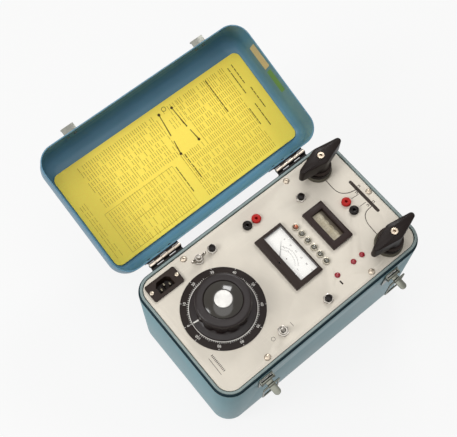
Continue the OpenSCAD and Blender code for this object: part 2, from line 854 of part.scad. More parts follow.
module push_button(p) {
    color("#17181a") translate([p[0], p[1], panel_top]) {
        translate([0, 0, -button_deep + 2 + button_travel + part_gap])
            cylinder(r = button_r, h = button_deep - 2 - button_travel - part_gap + button_bush_h + button_h);
    }
}

module reset_button() {
    push_button(button_xy[0]);
}

module fuse_button() {
    push_button(button_xy[1]);
}

module start_button() {
    push_button(button_xy[2]);
}

module ground_stud() {
    color("#b8bcc1") translate([ground_xy[0], ground_xy[1], panel_top]) {
        cylinder(r = ground_base_r, h = ground_base_h);
        translate([0, 0, -14]) cylinder(r = ground_r, h = 14 + ground_base_h + 14);
    }
}

module ground_wing_nut() {
    color("#cfd2d6") translate([ground_xy[0], ground_xy[1], panel_top + ground_base_h + part_gap]) {
        difference() {
            union() {
                rotate_extrude()
                    polygon([[ground_r + running, 0], [5.6, 0], [5, 7], [ground_r + running, 7]]);
                for (s = [0, 1]) mirror([s, 0, 0]) rotate([90, 0, 0]) translate([0, 0, -1.1])
                    linear_extrude(2.2) union() {
                        polygon([[3.5, 1], [5.5, 1], [ground_wing - 1, 5], [ground_wing - 5, 10],
                            [3.5, 6.5]]);
                        translate([ground_wing - 4, 8]) circle(4);
                    }
            }
            translate([0, 0, -1]) cylinder(r = ground_r + running, h = 20);
        }
    }
}

module at_terminals() {
    for (s = [-1, 1]) translate([terminal_x, s * terminal_y, 0]) children();
}

module terminal_insulators() {
    color("#1c1d1f") at_terminals() {
        translate([0, 0, panel_top]) rotate_extrude() polygon([[stud_r + seat_gap, -panel_t],
            [bush_r, -panel_t], [bush_r, 0], [flange_r, 0], [flange_r, flange_h - 1.5],
            [flange_r - 1.5, flange_h], [stud_r + seat_gap, flange_h]]);
        translate([0, 0, panel_bottom - washer_t]) difference() {
            cylinder(r = washer_r, h = washer_t);
            translate([0, 0, -1]) cylinder(r = stud_r + seat_gap, h = washer_t + 2);
        }
    }
}

module terminal_studs() {
    color("#b9bdc1") at_terminals() difference() {
        union() {
            translate([0, 0, stud_bottom]) cylinder(r = stud_r, h = stud_top - stud_bottom);
            translate([0, 0, collar_z]) cylinder(r = collar_r, h = collar_h);
        }
        translate([0, 0, stud_top - 6]) cylinder(r = stud_hole_r, h = 7);
    }
}

module nut(p, z, r, h, bore) {
    translate([p[0], p[1], z]) difference() {
        hexagon(r, h);
        translate([0, 0, -1]) cylinder(r = bore, h = h + 2);
    }
}

module under_panel_nuts() {
    color("#b9a56a") {
        for (s = [-1, 1]) nut([terminal_x, s * terminal_y], busbar_z - term_nut_h, term_nut_r, term_nut_h,
            stud_r + seat_gap);
        for (p = black_jack_xy) nut(p, panel_bottom - 4, jack_r + 1, 4, jack_body_r + seat_gap);
        for (p = red_jack_xy) nut(p, panel_bottom - 4, jack_r + 1, 4, jack_body_r + seat_gap);
        for (p = button_xy) nut(p, panel_bottom - 3, button_bush_r + 2.5, 3, button_bush_r + seat_gap);
        nut(ground_xy, panel_bottom - 4, 6, 4, ground_r + seat_gap);
    }
}

// Copper bars from the current terminals down to the transformer's coil
module busbars() {
    color("#b87345") for (s = [0, 1]) mirror([0, s, 0]) difference() {
        union() {
            translate([terminal_x - busbar_w / 2, bar_y, busbar_z])
                cube([busbar_w, terminal_y - bar_y + bar_end, busbar_t]);
            translate([terminal_x - busbar_w / 2, bar_y, coil_top()])
                cube([busbar_w, busbar_t, busbar_z - coil_top() + 1]);
            translate([core_x + 8, bar_y, coil_top()])
                cube([terminal_x + busbar_w / 2 - core_x - 8, 2 * busbar_t, busbar_t]);
        }
        translate([terminal_x, terminal_y, busbar_z - 1]) cylinder(r = stud_r + seat_gap, h = busbar_t + 2);
    }
}

module toggle_body() {
    color("#b9bdc2") translate([toggle_xy[0], toggle_xy[1], panel_top]) difference() {
        union() {
            hexagon(toggle_nut_r, toggle_nut_h);
            translate([0, 0, -panel_t - 1]) cylinder(r = toggle_bush_r, h = panel_t + 1 + toggle_bush_h);
            translate([0, 0, -panel_t - 22]) slab(22, 14, 22);
        }
        translate([0, 0, toggle_bush_h - 1]) sphere(r = toggle_ball_r + part_gap);
        translate([0, 0, toggle_bush_h - 1]) cylinder(r = toggle_ball_r + part_gap, h = 8);
        translate([0, 0, -panel_t - 8]) cylinder(r = 3, h = toggle_bush_h + panel_t + 7);
        translate([0, 0, toggle_bush_h - 1]) rod_y(toggle_pin_l + part_gap, toggle_pin_r + running);
    }
}

module toggle_lever() {
    color("#d5d8db") translate([toggle_xy[0], toggle_xy[1], toggle_z]) rotate([0, -toggle_lean, 0]) {
        sphere(r = toggle_ball_r);
        cylinder(r1 = 1.6, r2 = 2.7, h = toggle_l);
        translate([0, 0, toggle_l]) sphere(r = 2.7);
        translate([0, 0, -toggle_tail]) cylinder(r = 1.2, h = toggle_tail);
        rod_y(toggle_pin_l, toggle_pin_r);
    }
}

function coil_z() = chassis_z + (core_size[2] - window_h) / 2 + 0.4;
function coil_top() = coil_z() + window_h - 0.8;

module transformer_core() {
    color("#5b6066") translate([core_x, 0, chassis_z]) difference() {
        slab(core_size[0], core_size[1], core_size[2]);
        for (s = [0, 1]) mirror([s, 0, 0]) translate([leg_w, -core_size[1], (core_size[2] - window_h) / 2])
            cube([window_w, 2 * core_size[1], window_h]);
    }
}

module transformer_coil() {
    color("#8a5a34") translate([core_x, 0, coil_z()]) difference() {
        slab(2 * (leg_w + window_w) - 0.8, core_size[1] + 2 * coil_reach, window_h - 0.8);
        translate([0, 0, -1]) slab(2 * leg_w + 0.6, core_size[1] + 0.6, window_h + 2);
    }
}

module rectifier_heatsink() {
    color("#7c8186") translate([sink_x, 0, chassis_z]) {
        translate([0, 0, sink_size[2] - sink_base_t]) slab(sink_size[0], sink_size[1], sink_base_t);
        for (i = [0:sink_fins - 1])
            translate([i * (sink_size[0] - fin_t) / (sink_fins - 1) - sink_size[0] / 2, -sink_size[1] / 2, 0])
            cube([fin_t, sink_size[1], sink_size[2] - sink_base_t + 1]);
    }
}

module circuit_board() {
    color("#2f6b45") {
        translate([board_xy[0], board_xy[1], board_z]) cube([board_size[0], board_size[1], board_t]);
        for (p = [[20, 14, 30, 14, 8], [60, 18, 22, 8, 5], [92, 14, 18, 18, 9], [112, 62, 20, 24, 6],
                  [16, 80, 24, 16, 7], [50, 64, 40, 12, 5]])
            translate([board_xy[0] + p[0], board_xy[1] + p[1], board_z + board_t]) cube([p[2], p[3], p[4]]);
    }
}

module board_spacers() {
    color("#c3b184") for (p = spacer_xy)
        translate([board_xy[0] + p[0], board_xy[1] + p[1], board_z + board_t])
        cylinder(r = 3, h = panel_bottom - board_z - board_t);
}

module chassis_tray() {
    color("#9aa0a5") {
        translate([0, 0, tray_z]) slab(tray_size[0], tray_size[1], tray_t);
        for (p = foot_xy) translate([p[0], p[1], wall]) cylinder(r = 8, h = tray_z - wall);
    }
}

module lid_shell() {
    color("#3f6d96") lid_open() difference() {
        translate([0, 0, lid_top_z]) mirror([0, 0, 1]) drawn_shell(lid_h, lid_fillet_r);
        at_hinges() for (x = rivet_spread) translate([x, case_d / 2, lid_rivet_z]) rivet_hole(wall);
        at_hinges() keeper_rivet_places() rivet_hole(wall);
    }
}

module lid_card() {
    color("#fde05a") lid_open() translate([0, card_y, 0]) {
        translate([0, 0, card_z]) linear_extrude(card_t) {
            square([card_w - 2 * card_r, card_d], center = true);
            square([card_w, card_d - 2 * card_r], center = true);
            for (x = [card_r - card_w / 2, card_w / 2 - card_r],
                y = [card_r - card_d / 2, card_d / 2 - card_r])
                translate([x, y]) circle(card_r);
        }
        for (x = [-card_pad_x, 0, card_pad_x], y = [-card_pad_y, card_pad_y])
            translate([x, y, card_z + card_t])
                cylinder(r = card_pad_r, h = lid_top_z - wall - card_z - card_t);
    }
}

module hinge_lid_leaves() {
    color("#2b2d30") lid_open() at_hinges() difference() {
        union() {
            knuckle_row(1, hinge_z + knuckle_r - leaf_t);
            translate([-hinge_l / 2, case_d / 2, hinge_z + knuckle_r - leaf_t])
                cube([hinge_l, leaf_t, leaf_h]);
            for (x = rivet_spread) translate([x, case_d / 2 + leaf_t, lid_rivet_z]) rivet(leaf_t + wall);
        }
        translate([0, hinge_y, hinge_z]) rod_x(-hinge_l, hinge_l, hinge_pin_r + running);
    }
}

module keeper_rivet_places() {
    for (x = [-6, 6]) translate([x, -case_d / 2, keeper_z + keeper_h - 4]) mirror([0, 1, 0]) children();
}

module lid_keepers() {
    color("#c3c7cb") lid_open() at_hinges() {
        translate([-keeper_w / 2, -case_d / 2 - keeper_t, keeper_z]) cube([keeper_w, keeper_t, keeper_h]);
        translate([-keeper_w / 2, -case_d / 2 - hook_out, hook_z])
            cube([keeper_w, hook_out - keeper_t + 0.1, keeper_t]);
        translate([-keeper_w / 2, -case_d / 2 - hook_out, hook_z])
            cube([keeper_w, keeper_t, keeper_t + hook_lip]);
        keeper_rivet_places() translate([0, keeper_t, 0]) rivet(keeper_t + wall);
    }
}

module dial_knob() {
    color("#1c1d20") translate([-dial_at, 0, 0]) difference() {
        union() {
            translate([0, 0, skirt_z]) rotate_extrude() polygon([[0, 0], [knob_skirt_r, 0],
                [knob_skirt_r, 0.8], [knob_r + 1, skirt_t], [0, skirt_t]]);
            translate([0, 0, grip_z]) rotate_extrude() polygon([[0, -0.5], [knob_r - 2.5, -0.5],
                [knob_r - 2.5, 0], [knob_r, knob_h - 3], [knob_r - 0.8, knob_h - 0.8], [knob_r - 2.5, knob_h],
                [dish_r, knob_h], [cap_r + 1, hub_top - grip_z], [0, hub_top - grip_z]]);
        }
        for (i = [0:flutes - 1]) rotate((i + 0.5) * 360 / flutes)
            translate([knob_r + flute_r - 3.2, 0, grip_z + 0.6]) cylinder(r = flute_r, h = knob_h + 5);
        translate([0, 0, hub_top - cap_sink]) cylinder(r = cap_r + 0.1, h = 5);
        translate([0, 0, skirt_z - 1])
            cylinder(r = shaft_r + running, h = hub_top - knob_bore_deep - skirt_z + 1);
    }
}

module knob_cap() {
    color("#c6c9cd") translate([-dial_at, 0, hub_top - cap_sink]) rotate_extrude()
        polygon([[0, 0], [cap_r, 0], [cap_r, cap_t - 0.4], [cap_r - 0.5, cap_t], [0, cap_t]]);
}

module variac_shaft() {
    color("#a9adb1") translate([-dial_at, 0, 0]) {
        translate([0, 0, variac_bottom - bush_h - shaft_tail])
            cylinder(r = shaft_r, h = hub_top - knob_bore_deep - variac_bottom + bush_h + shaft_tail);
        translate([0, 0, variac_bottom - bush_h - shaft_collar_h])
            cylinder(r = shaft_r + 3, h = shaft_collar_h - part_gap);
        translate([0, 0, variac_bottom + part_gap]) cylinder(r = shaft_r + 4, h = shaft_collar_h);
        translate([0, 0, arm_z]) cylinder(r = shaft_r + 5, h = arm_t);
        translate([-(variac_r + variac_bore_r) / 2 - 4, -4, arm_z])
            cube([(variac_r + variac_bore_r) / 2 + 4, 8, arm_t]);
        translate([-(variac_r + variac_bore_r) / 2 - 3, -3, variac_top + part_gap])
            cube([6, 6, arm_z - variac_top - part_gap + 1]);
    }
}

module meter_needle() {
    color("#1a1a1a") translate([needle_x, 0, scale_z() + 1.2]) {
        rotate(needle_turn) translate([-needle_tail, -needle_w / 2, 0])
            cube([needle_l + needle_tail, needle_w, needle_t]);
        translate([0, 0, -1.2 - scale_t - 5]) cylinder(r = arbor_r, h = 1.2 + scale_t + 6.2);
    }
}

module clamp_plate(y) {
    color("#1c1d1f") translate([terminal_x, y, clamp_z]) rotate_extrude() polygon([[stud_r + seat_gap, 0],
        [collar_r, 0], [collar_r, clamp_t - 1], [collar_r - 1, clamp_t], [stud_r + seat_gap, clamp_t]]);
}

module rear_clamp() {
    clamp_plate(terminal_y);
}

module front_clamp() {
    clamp_plate(-terminal_y);
}

module wing_knob(y) {
    color("#17181a") translate([terminal_x, y, 0]) rotate(wing_turn) difference() {
        union() {
            translate([0, 0, wing_knob_z + part_gap]) rotate_extrude() polygon([[stud_r + running, 0],
                [wing_hub_r + 2, 0], [wing_hub_r, wing_knob_h * 0.5], [wing_hub_r - 1.5, wing_knob_h - 1.3],
                [wing_hub_r - 3, wing_knob_h - part_gap], [stud_r + running, wing_knob_h - part_gap]]);
            translate([0, 0, wing_low]) linear_extrude(wing_high - wing_low) {
                intersection() {
                    translate([0, wing_arc_r - wing_hub_r]) circle(wing_arc_r, $fn = 128);
                    translate([0, wing_hub_r - wing_arc_r]) circle(wing_arc_r, $fn = 128);
                    square([2 * wing_x0, 2 * wing_hub_r], center = true);
                }
                for (s = [-1, 1]) translate([s * wing_x0, 0]) circle(wing_tip_r);
            }
        }
        translate([0, 0, wing_knob_z - 1]) cylinder(r = stud_r + running, h = wing_knob_h + 5);
    }
}

module rear_wing_knob() {
    wing_knob(terminal_y);
}

module front_wing_knob() {
    wing_knob(-terminal_y);
}

module latch_lever(x) {
    color("#c3c7cb") translate([x, pivot_y, pivot_z]) difference() {
        union() {
            rod_x(-ear_x + ear_t + part_gap, ear_x - ear_t - part_gap, barrel_r);
            translate([0, -bail_arm, 0]) rod_x(-lever_w / 2, lever_w / 2, barrel_r);
            translate([-lever_w / 2, -lever_l + lever_w / 2, -lever_t / 2])
                cube([lever_w, lever_l - lever_w / 2, lever_t]);
            translate([0, -lever_l + lever_w / 2, -lever_t / 2]) cylinder(r = lever_w / 2, h = lever_t);
        }
        rod_x(-latch_w, latch_w, latch_pin_r + running);
        translate([0, -bail_arm, 0]) rod_x(-latch_w, latch_w, bail_wire_r + running);
    }
}

module left_latch_lever() {
    latch_lever(-hinge_x);
}

module right_latch_lever() {
    latch_lever(hinge_x);
}

// A wire loop that hangs from the lever
module latch_bail(x) {
    color("#b9bdc1") translate([x, pivot_y - bail_arm, pivot_z]) {
        for (s = [0, 1]) mirror([s, 0, 0]) {
            rod_x(lever_w / 2 - 2.5, bail_x, bail_wire_r);
            translate([bail_x, 0, -bail_l]) cylinder(r = bail_wire_r, h = bail_l);
            translate([bail_x, 0, 0]) sphere(r = bail_wire_r);
            translate([bail_x, 0, -bail_l]) sphere(r = bail_wire_r);
        }
        translate([0, 0, -bail_l]) rod_x(-bail_x, bail_x, bail_wire_r);
    }
}

module left_latch_bail() {
    latch_bail(-hinge_x);
}

module right_latch_bail() {
    latch_bail(hinge_x);
}

case_base();
rim_frame();
rim_seal();
front_panel();
panel_screws();
panel_cup_washers();
hinge_base_leaves();
pivot_pins();
base_rivets();
latch_plates();
mains_inlet();
inlet_contacts();
dial_plate();
variac_frame();
variac_core();
variac_winding();
meter_case();
meter_scale();
meter_glass();
display_frame();
display_panel();
range_lamp_bezels();
range_lamp_lenses();
indicator_lamps();
black_jacks();
red_jacks();
button_collars();
ground_stud();
terminal_insulators();
terminal_studs();
under_panel_nuts();
busbars();
toggle_body();
transformer_core();
transformer_coil();
rectifier_heatsink();
circuit_board();
board_spacers();
chassis_tray();
lid_shell();
lid_card();
hinge_lid_leaves();
lid_keepers();
dial_knob();
knob_cap();
variac_shaft();
meter_needle();
rear_clamp();
front_clamp();
rear_wing_knob();
front_wing_knob();
ground_wing_nut();
toggle_lever();
reset_button();
fuse_button();
start_button();
left_latch_lever();
right_latch_lever();
left_latch_bail();
right_latch_bail();
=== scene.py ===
"""A portable micro-ohmmeter in its hinged transit case."""

import math

import bmesh
import bpy
from mathutils import Matrix, Vector


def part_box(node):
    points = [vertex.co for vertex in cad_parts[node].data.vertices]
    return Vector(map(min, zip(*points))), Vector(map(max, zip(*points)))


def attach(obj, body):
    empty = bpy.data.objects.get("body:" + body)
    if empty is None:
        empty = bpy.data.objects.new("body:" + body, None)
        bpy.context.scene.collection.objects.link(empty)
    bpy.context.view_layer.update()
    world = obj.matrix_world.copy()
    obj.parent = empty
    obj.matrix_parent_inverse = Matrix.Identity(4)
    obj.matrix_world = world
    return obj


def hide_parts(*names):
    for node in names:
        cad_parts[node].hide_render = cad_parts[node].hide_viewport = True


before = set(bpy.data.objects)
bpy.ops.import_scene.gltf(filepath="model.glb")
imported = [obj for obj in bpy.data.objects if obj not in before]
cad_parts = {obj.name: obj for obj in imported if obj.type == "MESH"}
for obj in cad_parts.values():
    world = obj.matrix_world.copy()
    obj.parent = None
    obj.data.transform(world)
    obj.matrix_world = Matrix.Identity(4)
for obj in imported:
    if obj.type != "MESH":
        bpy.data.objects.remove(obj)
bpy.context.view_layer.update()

MM = 0.001
WHITE, BARE_METAL = (1, 1, 1, 1), (0.55, 0.56, 0.57, 1)
CASE_W, CASE_D, CORNER_R = 356, 204, 28
LEDGE_Z, PANEL_Z, RIM_Z = 179, 184, 186
TONGUE_OUT, TONGUE_IN = 2.7, 6.2
HINGE_Y, HINGE_Z, OPEN_ANGLE = 108.5, 181.7, 160.2
INLET_X, INLET_Y = -139.6, 75.2
EARTH_X, EARTH_Y = -82.4, 72.8
TOGGLE_X, TOGGLE_Y, TOGGLE_Z, TOGGLE_LEAN = -59, -74, 189, -12
DIAL_X, DIAL_ZERO, DIAL_STEP = -99.8, 168.75, -33.75
DIAL = (DIAL_X, 0)
SKIRT_LOW, GRIP_LOW, GRIP_TOP, HUB_TOP = 185.8, 188.0, 222.0, 225.4
PLATE_HOLE, POINTER_R, RING_R, NUMBER_R, MARK_R, PLATE_R = 6.3, 40.4, 45.5, 51.6, 55.6, 57.7
NEEDLE_Z, NEEDLE_REST = 185.2, 45
LAMP_X, LAMP_Y, LAMP_PITCH = 50.4, 26, 12.7
DISPLAY_X = 86.2
TERMINALS = ((132.5, 72.5), (132.5, -72.5))
WING_HALF, WING_HUB_R, WING_TIP_R, WING_TURN = 38.4, 13, 4.6, 4
CARD_Y, CARD_Z, CARD_D, STICKER_X = 6.8, 233.7, 156, 176.38
AMBIENT, FLOOR_GLOW, FLOOR_HALF, LAMP_AIM = 0.3, 0.85, 6, Vector((-0.05, 0, 0.2))
LAMPS = (("key", (-1.6, 0.5, 1.55), (0.9, 0.9), 19), ("overhead", (-0.15, -0.05, 2.6), (2.3, 2.3), 24),
         ("strip", (0.925, 0.835, 1.37), (0.55, 0.35), 8))


def tone(*screen):
    """A shader's colour from screen values between 0 and 255."""
    return *(c / 255 / 12.92 if c < 11 else ((c / 255 + 0.055) / 1.055) ** 2.4 for c in screen), 1


def add(name, data):
    """A new object in the scene."""
    thing = bpy.data.objects.new(name, data)
    bpy.context.scene.collection.objects.link(thing)
    return thing


# ---- camera

CAMERA_AT = Vector((-0.3109, -0.2544, 1.2629))
CAMERA_RIGHT = Vector((0.77086, -0.63696, 0.00707))
CAMERA_UP = Vector((0.58390, 0.71099, 0.39186))
CAMERA_BACK = Vector((-0.25462, -0.29794, 0.92000))

camera_data = bpy.data.cameras.new("camera")
camera_data.lens = 66.86
camera_data.sensor_width = 36
camera_data.sensor_fit = "HORIZONTAL"
camera_data.clip_end = 50
camera = add("camera", camera_data)
axes = Matrix((CAMERA_RIGHT, CAMERA_UP, CAMERA_BACK)).transposed()
camera.matrix_world = Matrix.Translation(CAMERA_AT) @ axes.to_4x4()
bpy.context.scene.camera = camera
bpy.context.scene.view_settings.view_transform = "Standard"

# ---- node trees


class Wire:
    """One socket of a node tree. An expression on it adds Math nodes."""

    def __init__(self, owner, socket):
        self.owner = owner
        self.socket = socket

    def math(self, operation, other=0.0, flip=False):
        first, second = (other, self) if flip else (self, other)
        return self.owner.node("ShaderNodeMath", {"operation": operation}, {0: first, 1: second})

    def __add__(self, other):
        return self.math("ADD", other)

    def __sub__(self, other):
        return self.math("SUBTRACT", other)

    def __rsub__(self, other):
        return self.math("SUBTRACT", other, flip=True)

    def __mul__(self, other):
        return self.math("MULTIPLY", other)

    def __truediv__(self, other):
        return self.math("DIVIDE", other)

    def __pow__(self, other):
        return self.math("POWER", other)

    def __mod__(self, other):
        return self.math("MODULO", other)

    __radd__ = __add__
    __rmul__ = __mul__

    def most(self, other):
        return self.math("MAXIMUM", other)

    def sine(self):
        return self.math("SINE")

    def cosine(self):
        return self.math("COSINE")

    def rise(self, low, high):
        """0 below low, 1 above high and smooth between."""
        settings = {"interpolation_type": "SMOOTHSTEP"}
        return self.owner.node("ShaderNodeMapRange", settings, {0: self, 1: low, 2: high})


class Tree:
    """A node tree, filled through one method."""

    def node(self, kind, settings=None, inputs=None, out=0):
        made = self.tree.nodes.new(kind)
        for key, value in (settings or {}).items():
            setattr(made, key, value)
        for key, value in (inputs or {}).items():
            self.feed(made.inputs[key], value)
        return Wire(self, made.outputs[out])

    def feed(self, socket, value):
        """Gives a socket its value, or a link if the value is a wire."""
        if isinstance(value, Wire):
            self.tree.links.new(value.socket, socket)
        else:
            socket.default_value = value

    def split(self, vector):
        """The three parts of a vector."""
        return [self.node("ShaderNodeSeparateXYZ", None, {0: vector}, out=axis) for axis in range(3)]


# ---- finishes


class Finish(Tree):
    """A material on one Principled shader, in screen colours. Its slot is the part's material slot."""

    def __init__(self, slot, colour, rough=0.5, metal=0.0, name=None, **more):
        self.slot = slot
        self.material = bpy.data.materials.new(name or slot)
        self.material.use_nodes = True
        self.tree = self.material.node_tree
        self.shader = self.tree.nodes["Principled BSDF"]
        self.colour = tone(*colour)
        self.set("Base Color", self.colour)
        self.set("Roughness", rough)
        self.set("Metallic", metal)
        for key, value in more.items():
            self.set(key.replace("_", " ").title().replace("Ior", "IOR"), value)

    def set(self, name, value):
        self.feed(self.shader.inputs[name], value)

    def place(self, stretch=(1, 1, 1), centre=(0, 0, 0)):
        """Object coordinates from a centre in mm, stretched."""
        spot = self.node("ShaderNodeTexCoord", out="Object")
        shift = tuple(-c * MM * s for c, s in zip(centre, stretch))
        return self.node("ShaderNodeMapping", None, {"Vector": spot, "Location": shift, "Scale": stretch})

    def axes(self, centre=(0, 0, 0)):
        """Distances along X, Y and Z from a centre, in mm."""
        return self.split(self.place((1000, 1000, 1000), centre))

    def noise(self, size, detail=3, stretch=(1, 1, 1)):
        """Fractal noise with features about size mm across."""
        inputs = {"Vector": self.place(stretch), "Scale": 1000 / size, "Detail": detail}
        return self.node("ShaderNodeTexNoise", None, inputs)

    def mix(self, mask, first, second):
        return self.node("ShaderNodeMix", {"data_type": "RGBA"}, {0: mask, 6: first, 7: second}, out=2)

    def shade(self, share):
        """The finish's own colour, lighter above 1 and darker below."""
        return tuple(min(1, c * share) for c in self.colour[:3]) + (1,)

    def bump(self, height, depth):
        """A bump of that depth in mm."""
        self.set("Normal", self.node("ShaderNodeBump", None, {"Height": height, "Distance": depth * MM}))

    def edges(self, width):
        """1 along outside edges, within that width in mm."""
        soft = self.node("ShaderNodeBevel", {"samples": 4}, {"Radius": width * MM})
        flat = self.node("ShaderNodeNewGeometry", out="Normal")
        dot = self.node("ShaderNodeVectorMath", {"operation": "DOT_PRODUCT"}, {0: soft, 1: flat}, out="Value")
        return (1 - dot).rise(0.01, 0.12)

    def scratches(self):
        """1 on thin lines that run in two directions, in patches."""
        width, length = 0.3, 40
        share = width / length
        lines = self.noise(width * 2, 1, (share, 1, 1)).most(self.noise(width * 2, 1, (1, share, 1)))
        return lines.rise(0.68, 0.74) * self.noise(50, 2).rise(0.5, 0.68)


def painted(slot, colour, rough=0.36, peel=0.025, name=None):
    """Baked enamel on metal: orange peel, clouds of tone, rubs, and edges worn through."""
    paint = Finish(slot, colour, rough, name=name, specular_ior_level=0.35)
    cloud = paint.noise(80, 4)
    rub = paint.scratches()
    chip = paint.edges(0.8) * paint.noise(7, 4).rise(0.56, 0.66)
    fleck = paint.noise(1.6, 2).rise(0.68, 0.76) * paint.noise(30, 2).rise(0.5, 0.7)
    hue = paint.mix(cloud.rise(0.3, 0.7), paint.shade(0.92), paint.shade(1.07))
    hue = paint.mix(rub * 0.3, hue, paint.shade(1.6))
    hue = paint.mix(fleck * 0.3, hue, paint.shade(0.5))
    hue = paint.mix(chip * 0.8, hue, BARE_METAL)
    paint.set("Base Color", hue)
    paint.set("Roughness", cloud * 0.14 + rub * 0.15 + (rough - 0.06))
    paint.bump(paint.noise(2.2, 2), peel)
    return paint


def moulded(slot, colour, rough=0.4, grain=0.6, depth=0.012, name=None, gloss=0.14):
    """Moulded plastic: fine grain, handling marks, dust, and edges rubbed paler."""
    plastic = Finish(slot, colour, rough, name=name, specular_ior_level=gloss)
    cloud = plastic.noise(16, 4)
    dust = plastic.noise(0.9, 3).rise(0.62, 0.8) * plastic.noise(12, 3).rise(0.48, 0.75)
    pale = tuple(c * 1.35 + 0.008 for c in plastic.colour[:3]) + (1,)
    hue = plastic.mix(cloud.rise(0.4, 0.75) * 0.2 + dust * 0.3, plastic.colour, pale)
    hue = plastic.mix(plastic.edges(0.5) * 0.5, hue, pale)
    plastic.set("Base Color", hue)
    plastic.set("Roughness", cloud * 0.2 + (rough - 0.08))
    plastic.bump(plastic.noise(grain, 2), depth)
    return plastic


def bright(slot, colour, rough=0.2, stretch=(1, 1, 1), depth=0.006, name=None):
    """Plated metal: smears, pin specks and faint brushing."""
    metal = Finish(slot, colour, rough, 1.0, name=name)
    smear = metal.noise(8, 4)
    speck = metal.noise(0.8, 2).rise(0.66, 0.78)
    dull = smear.rise(0.4, 0.75) * 0.45 + speck * 0.3
    metal.set("Base Color", metal.mix(dull, metal.colour, metal.shade(0.7)))
    metal.set("Roughness", smear * 0.16 + speck * 0.15 + (rough - 0.06))
    metal.bump(metal.noise(0.4, 2, stretch), depth)
    return metal


def turned(slot, colour, centres, rough=0.24, pitch=0.45, metal=1.0, depth=0.02, name=None, gloss=0.14):
    """A face cut on a lathe: fine rings about the nearest of some upright axes."""
    face = Finish(slot, colour, rough, metal, name=name, specular_ior_level=gloss)
    ring = None
    for centre in centres:
        x, y, _ = face.axes((*centre, 0))
        away = (x * x + y * y) ** 0.5
        ring = away if ring is None else ring.math("MINIMUM", away)
    smear = face.noise(6, 4)
    face.set("Base Color", face.mix(smear.rise(0.4, 0.75) * 0.4, face.colour, face.shade(0.75)))
    face.set("Roughness", smear * 0.14 + (rough - 0.05))
    face.bump((ring * (2 * math.pi / pitch)).sine(), depth)
    return face


def printed(slot, colour, rough=0.5, name=None):
    """Screen-printed ink, slightly uneven."""
    ink = Finish(slot, colour, rough, name=name, specular_ior_level=0.2)
    cloud = ink.noise(1.5, 3)
    ink.set("Base Color", ink.mix(cloud.rise(0.4, 0.8) * 0.35, ink.colour, ink.shade(1.5)))
    ink.bump(cloud, 0.004)
    return ink


def clear(slot, colour, rough, name=None):
    """Glass or clear plastic with a little haze and fine hairlines."""
    glass = Finish(slot, colour, rough, name=name, transmission_weight=0.85)
    haze = glass.noise(14, 3)
    glass.set("Roughness", haze.rise(0.45, 0.8) * 0.06 + rough)
    glass.bump(glass.noise(0.5, 1, (0.02, 1, 1)), 0.001)
    return glass


case_paint = painted("case_paint", (96, 141, 151))
lid_paint = painted("lid_paint", (84, 129, 152))
rim_paint = painted("case_paint", (126, 140, 138), 0.42, name="rim_paint")
panel_paint = painted("panel_paint", (213, 205, 191), 0.5, 0.01)
# Near black: the rubber seal, darkened further as painted shade of the groove.
seal_rubber = moulded("seal_rubber", (16, 42, 50), 0.6, 1.2, 0.03)
bright_plate = bright("bright_plate", (150, 145, 138))
screw_plate = bright("bright_plate", (176, 164, 148), 0.32, name="screw_plate")
lamp_chrome = bright("bright_plate", (150, 144, 130), 0.24, name="lamp_chrome")
keeper_plate = bright("bright_plate", (112, 112, 106), 0.34, name="keeper_plate")
latch_steel = bright("latch_steel", (104, 105, 97), 0.26, (0.1, 1, 1), 0.012)
rivet_aluminium = bright("rivet_aluminium", (150, 152, 152), 0.34)
black_plastic = moulded("black_plastic", (42, 32, 27), 0.4)
frame_black = moulded("black_plastic", (42, 30, 27), 0.4, name="frame_black")
plate_black = moulded("black_plastic", (27, 17, 13), 0.34, 3, 0.004, name="plate_black")
base_moulding = moulded("black_plastic", (84, 80, 68), 0.3, name="base_moulding")
knob_plastic = turned("knob_plastic", (27, 18, 17), [DIAL], 0.3, 0.9, 0.0, 0.01, gloss=0.28)
dish_black = turned("knob_plastic", (34, 28, 16), [DIAL], 0.08, 0.9, 0.0, 0.0002, "dish_black", 0.55)
button_black = moulded("knob_plastic", (22, 16, 13), 0.15, 3, 0.004, name="button_black")
wing_plastic = moulded("knob_plastic", (26, 18, 15), 0.33, 0.8, 0.01, name="wing_plastic")
red_plastic = moulded("red_plastic", (170, 30, 25), 0.34)
knob_metal = turned("knob_metal", (186, 184, 180), [DIAL], 0.45, 0.5, 1.0, 0.015)
stud_metal = turned("stud_metal", (180, 166, 148), TERMINALS, 0.3)
contact_brass = bright("contact_brass", (190, 160, 96), 0.28)
contact_dull = bright("contact_brass", (112, 106, 92), 0.4, name="contact_dull")
copper = bright("copper", (202, 128, 88), 0.3, (1, 0.1, 1), 0.012)
coil_wrap = bright("winding_wire", (170, 104, 60), 0.35, (1, 0.1, 1), name="coil_wrap")
scale_card = printed("scale_card", (250, 248, 242), 0.55)
card_yellow = printed("card_yellow", (255, 227, 93), 0.5)
needle_black = moulded("needle_black", (18, 18, 18), 0.5)
meter_window = moulded("meter_window", (255, 255, 255), 0.06, 3, 0.0005)
meter_window.set("Alpha", 0.06)
lens_clear = clear("lens_clear", (236, 230, 210), 0.06)
lens_amber = clear("lens_clear", (236, 150, 110), 0.08, name="lens_amber")
lens_red = moulded("lens_red", (142, 14, 32), 0.12, 3, 0.002, gloss=0.4)
ink_black = printed("needle_black", (44, 34, 28), name="ink_black")
ink_grey = printed("needle_black", (84, 76, 70), name="ink_grey")
ink_white = printed("scale_card", (236, 232, 224), name="ink_white")
ink_card = printed("card_yellow", (166, 134, 34), 0.6, name="ink_card")
ink_bold = printed("card_yellow", (70, 50, 10), 0.6, name="ink_bold")
ink_segment = printed("display_glass", (166, 156, 132), 0.3, name="ink_segment")
sticker_beige = printed("card_yellow", (200, 180, 140), 0.5, name="sticker_beige")
sticker_green = printed("card_yellow", (98, 142, 84), 0.5, name="sticker_green")
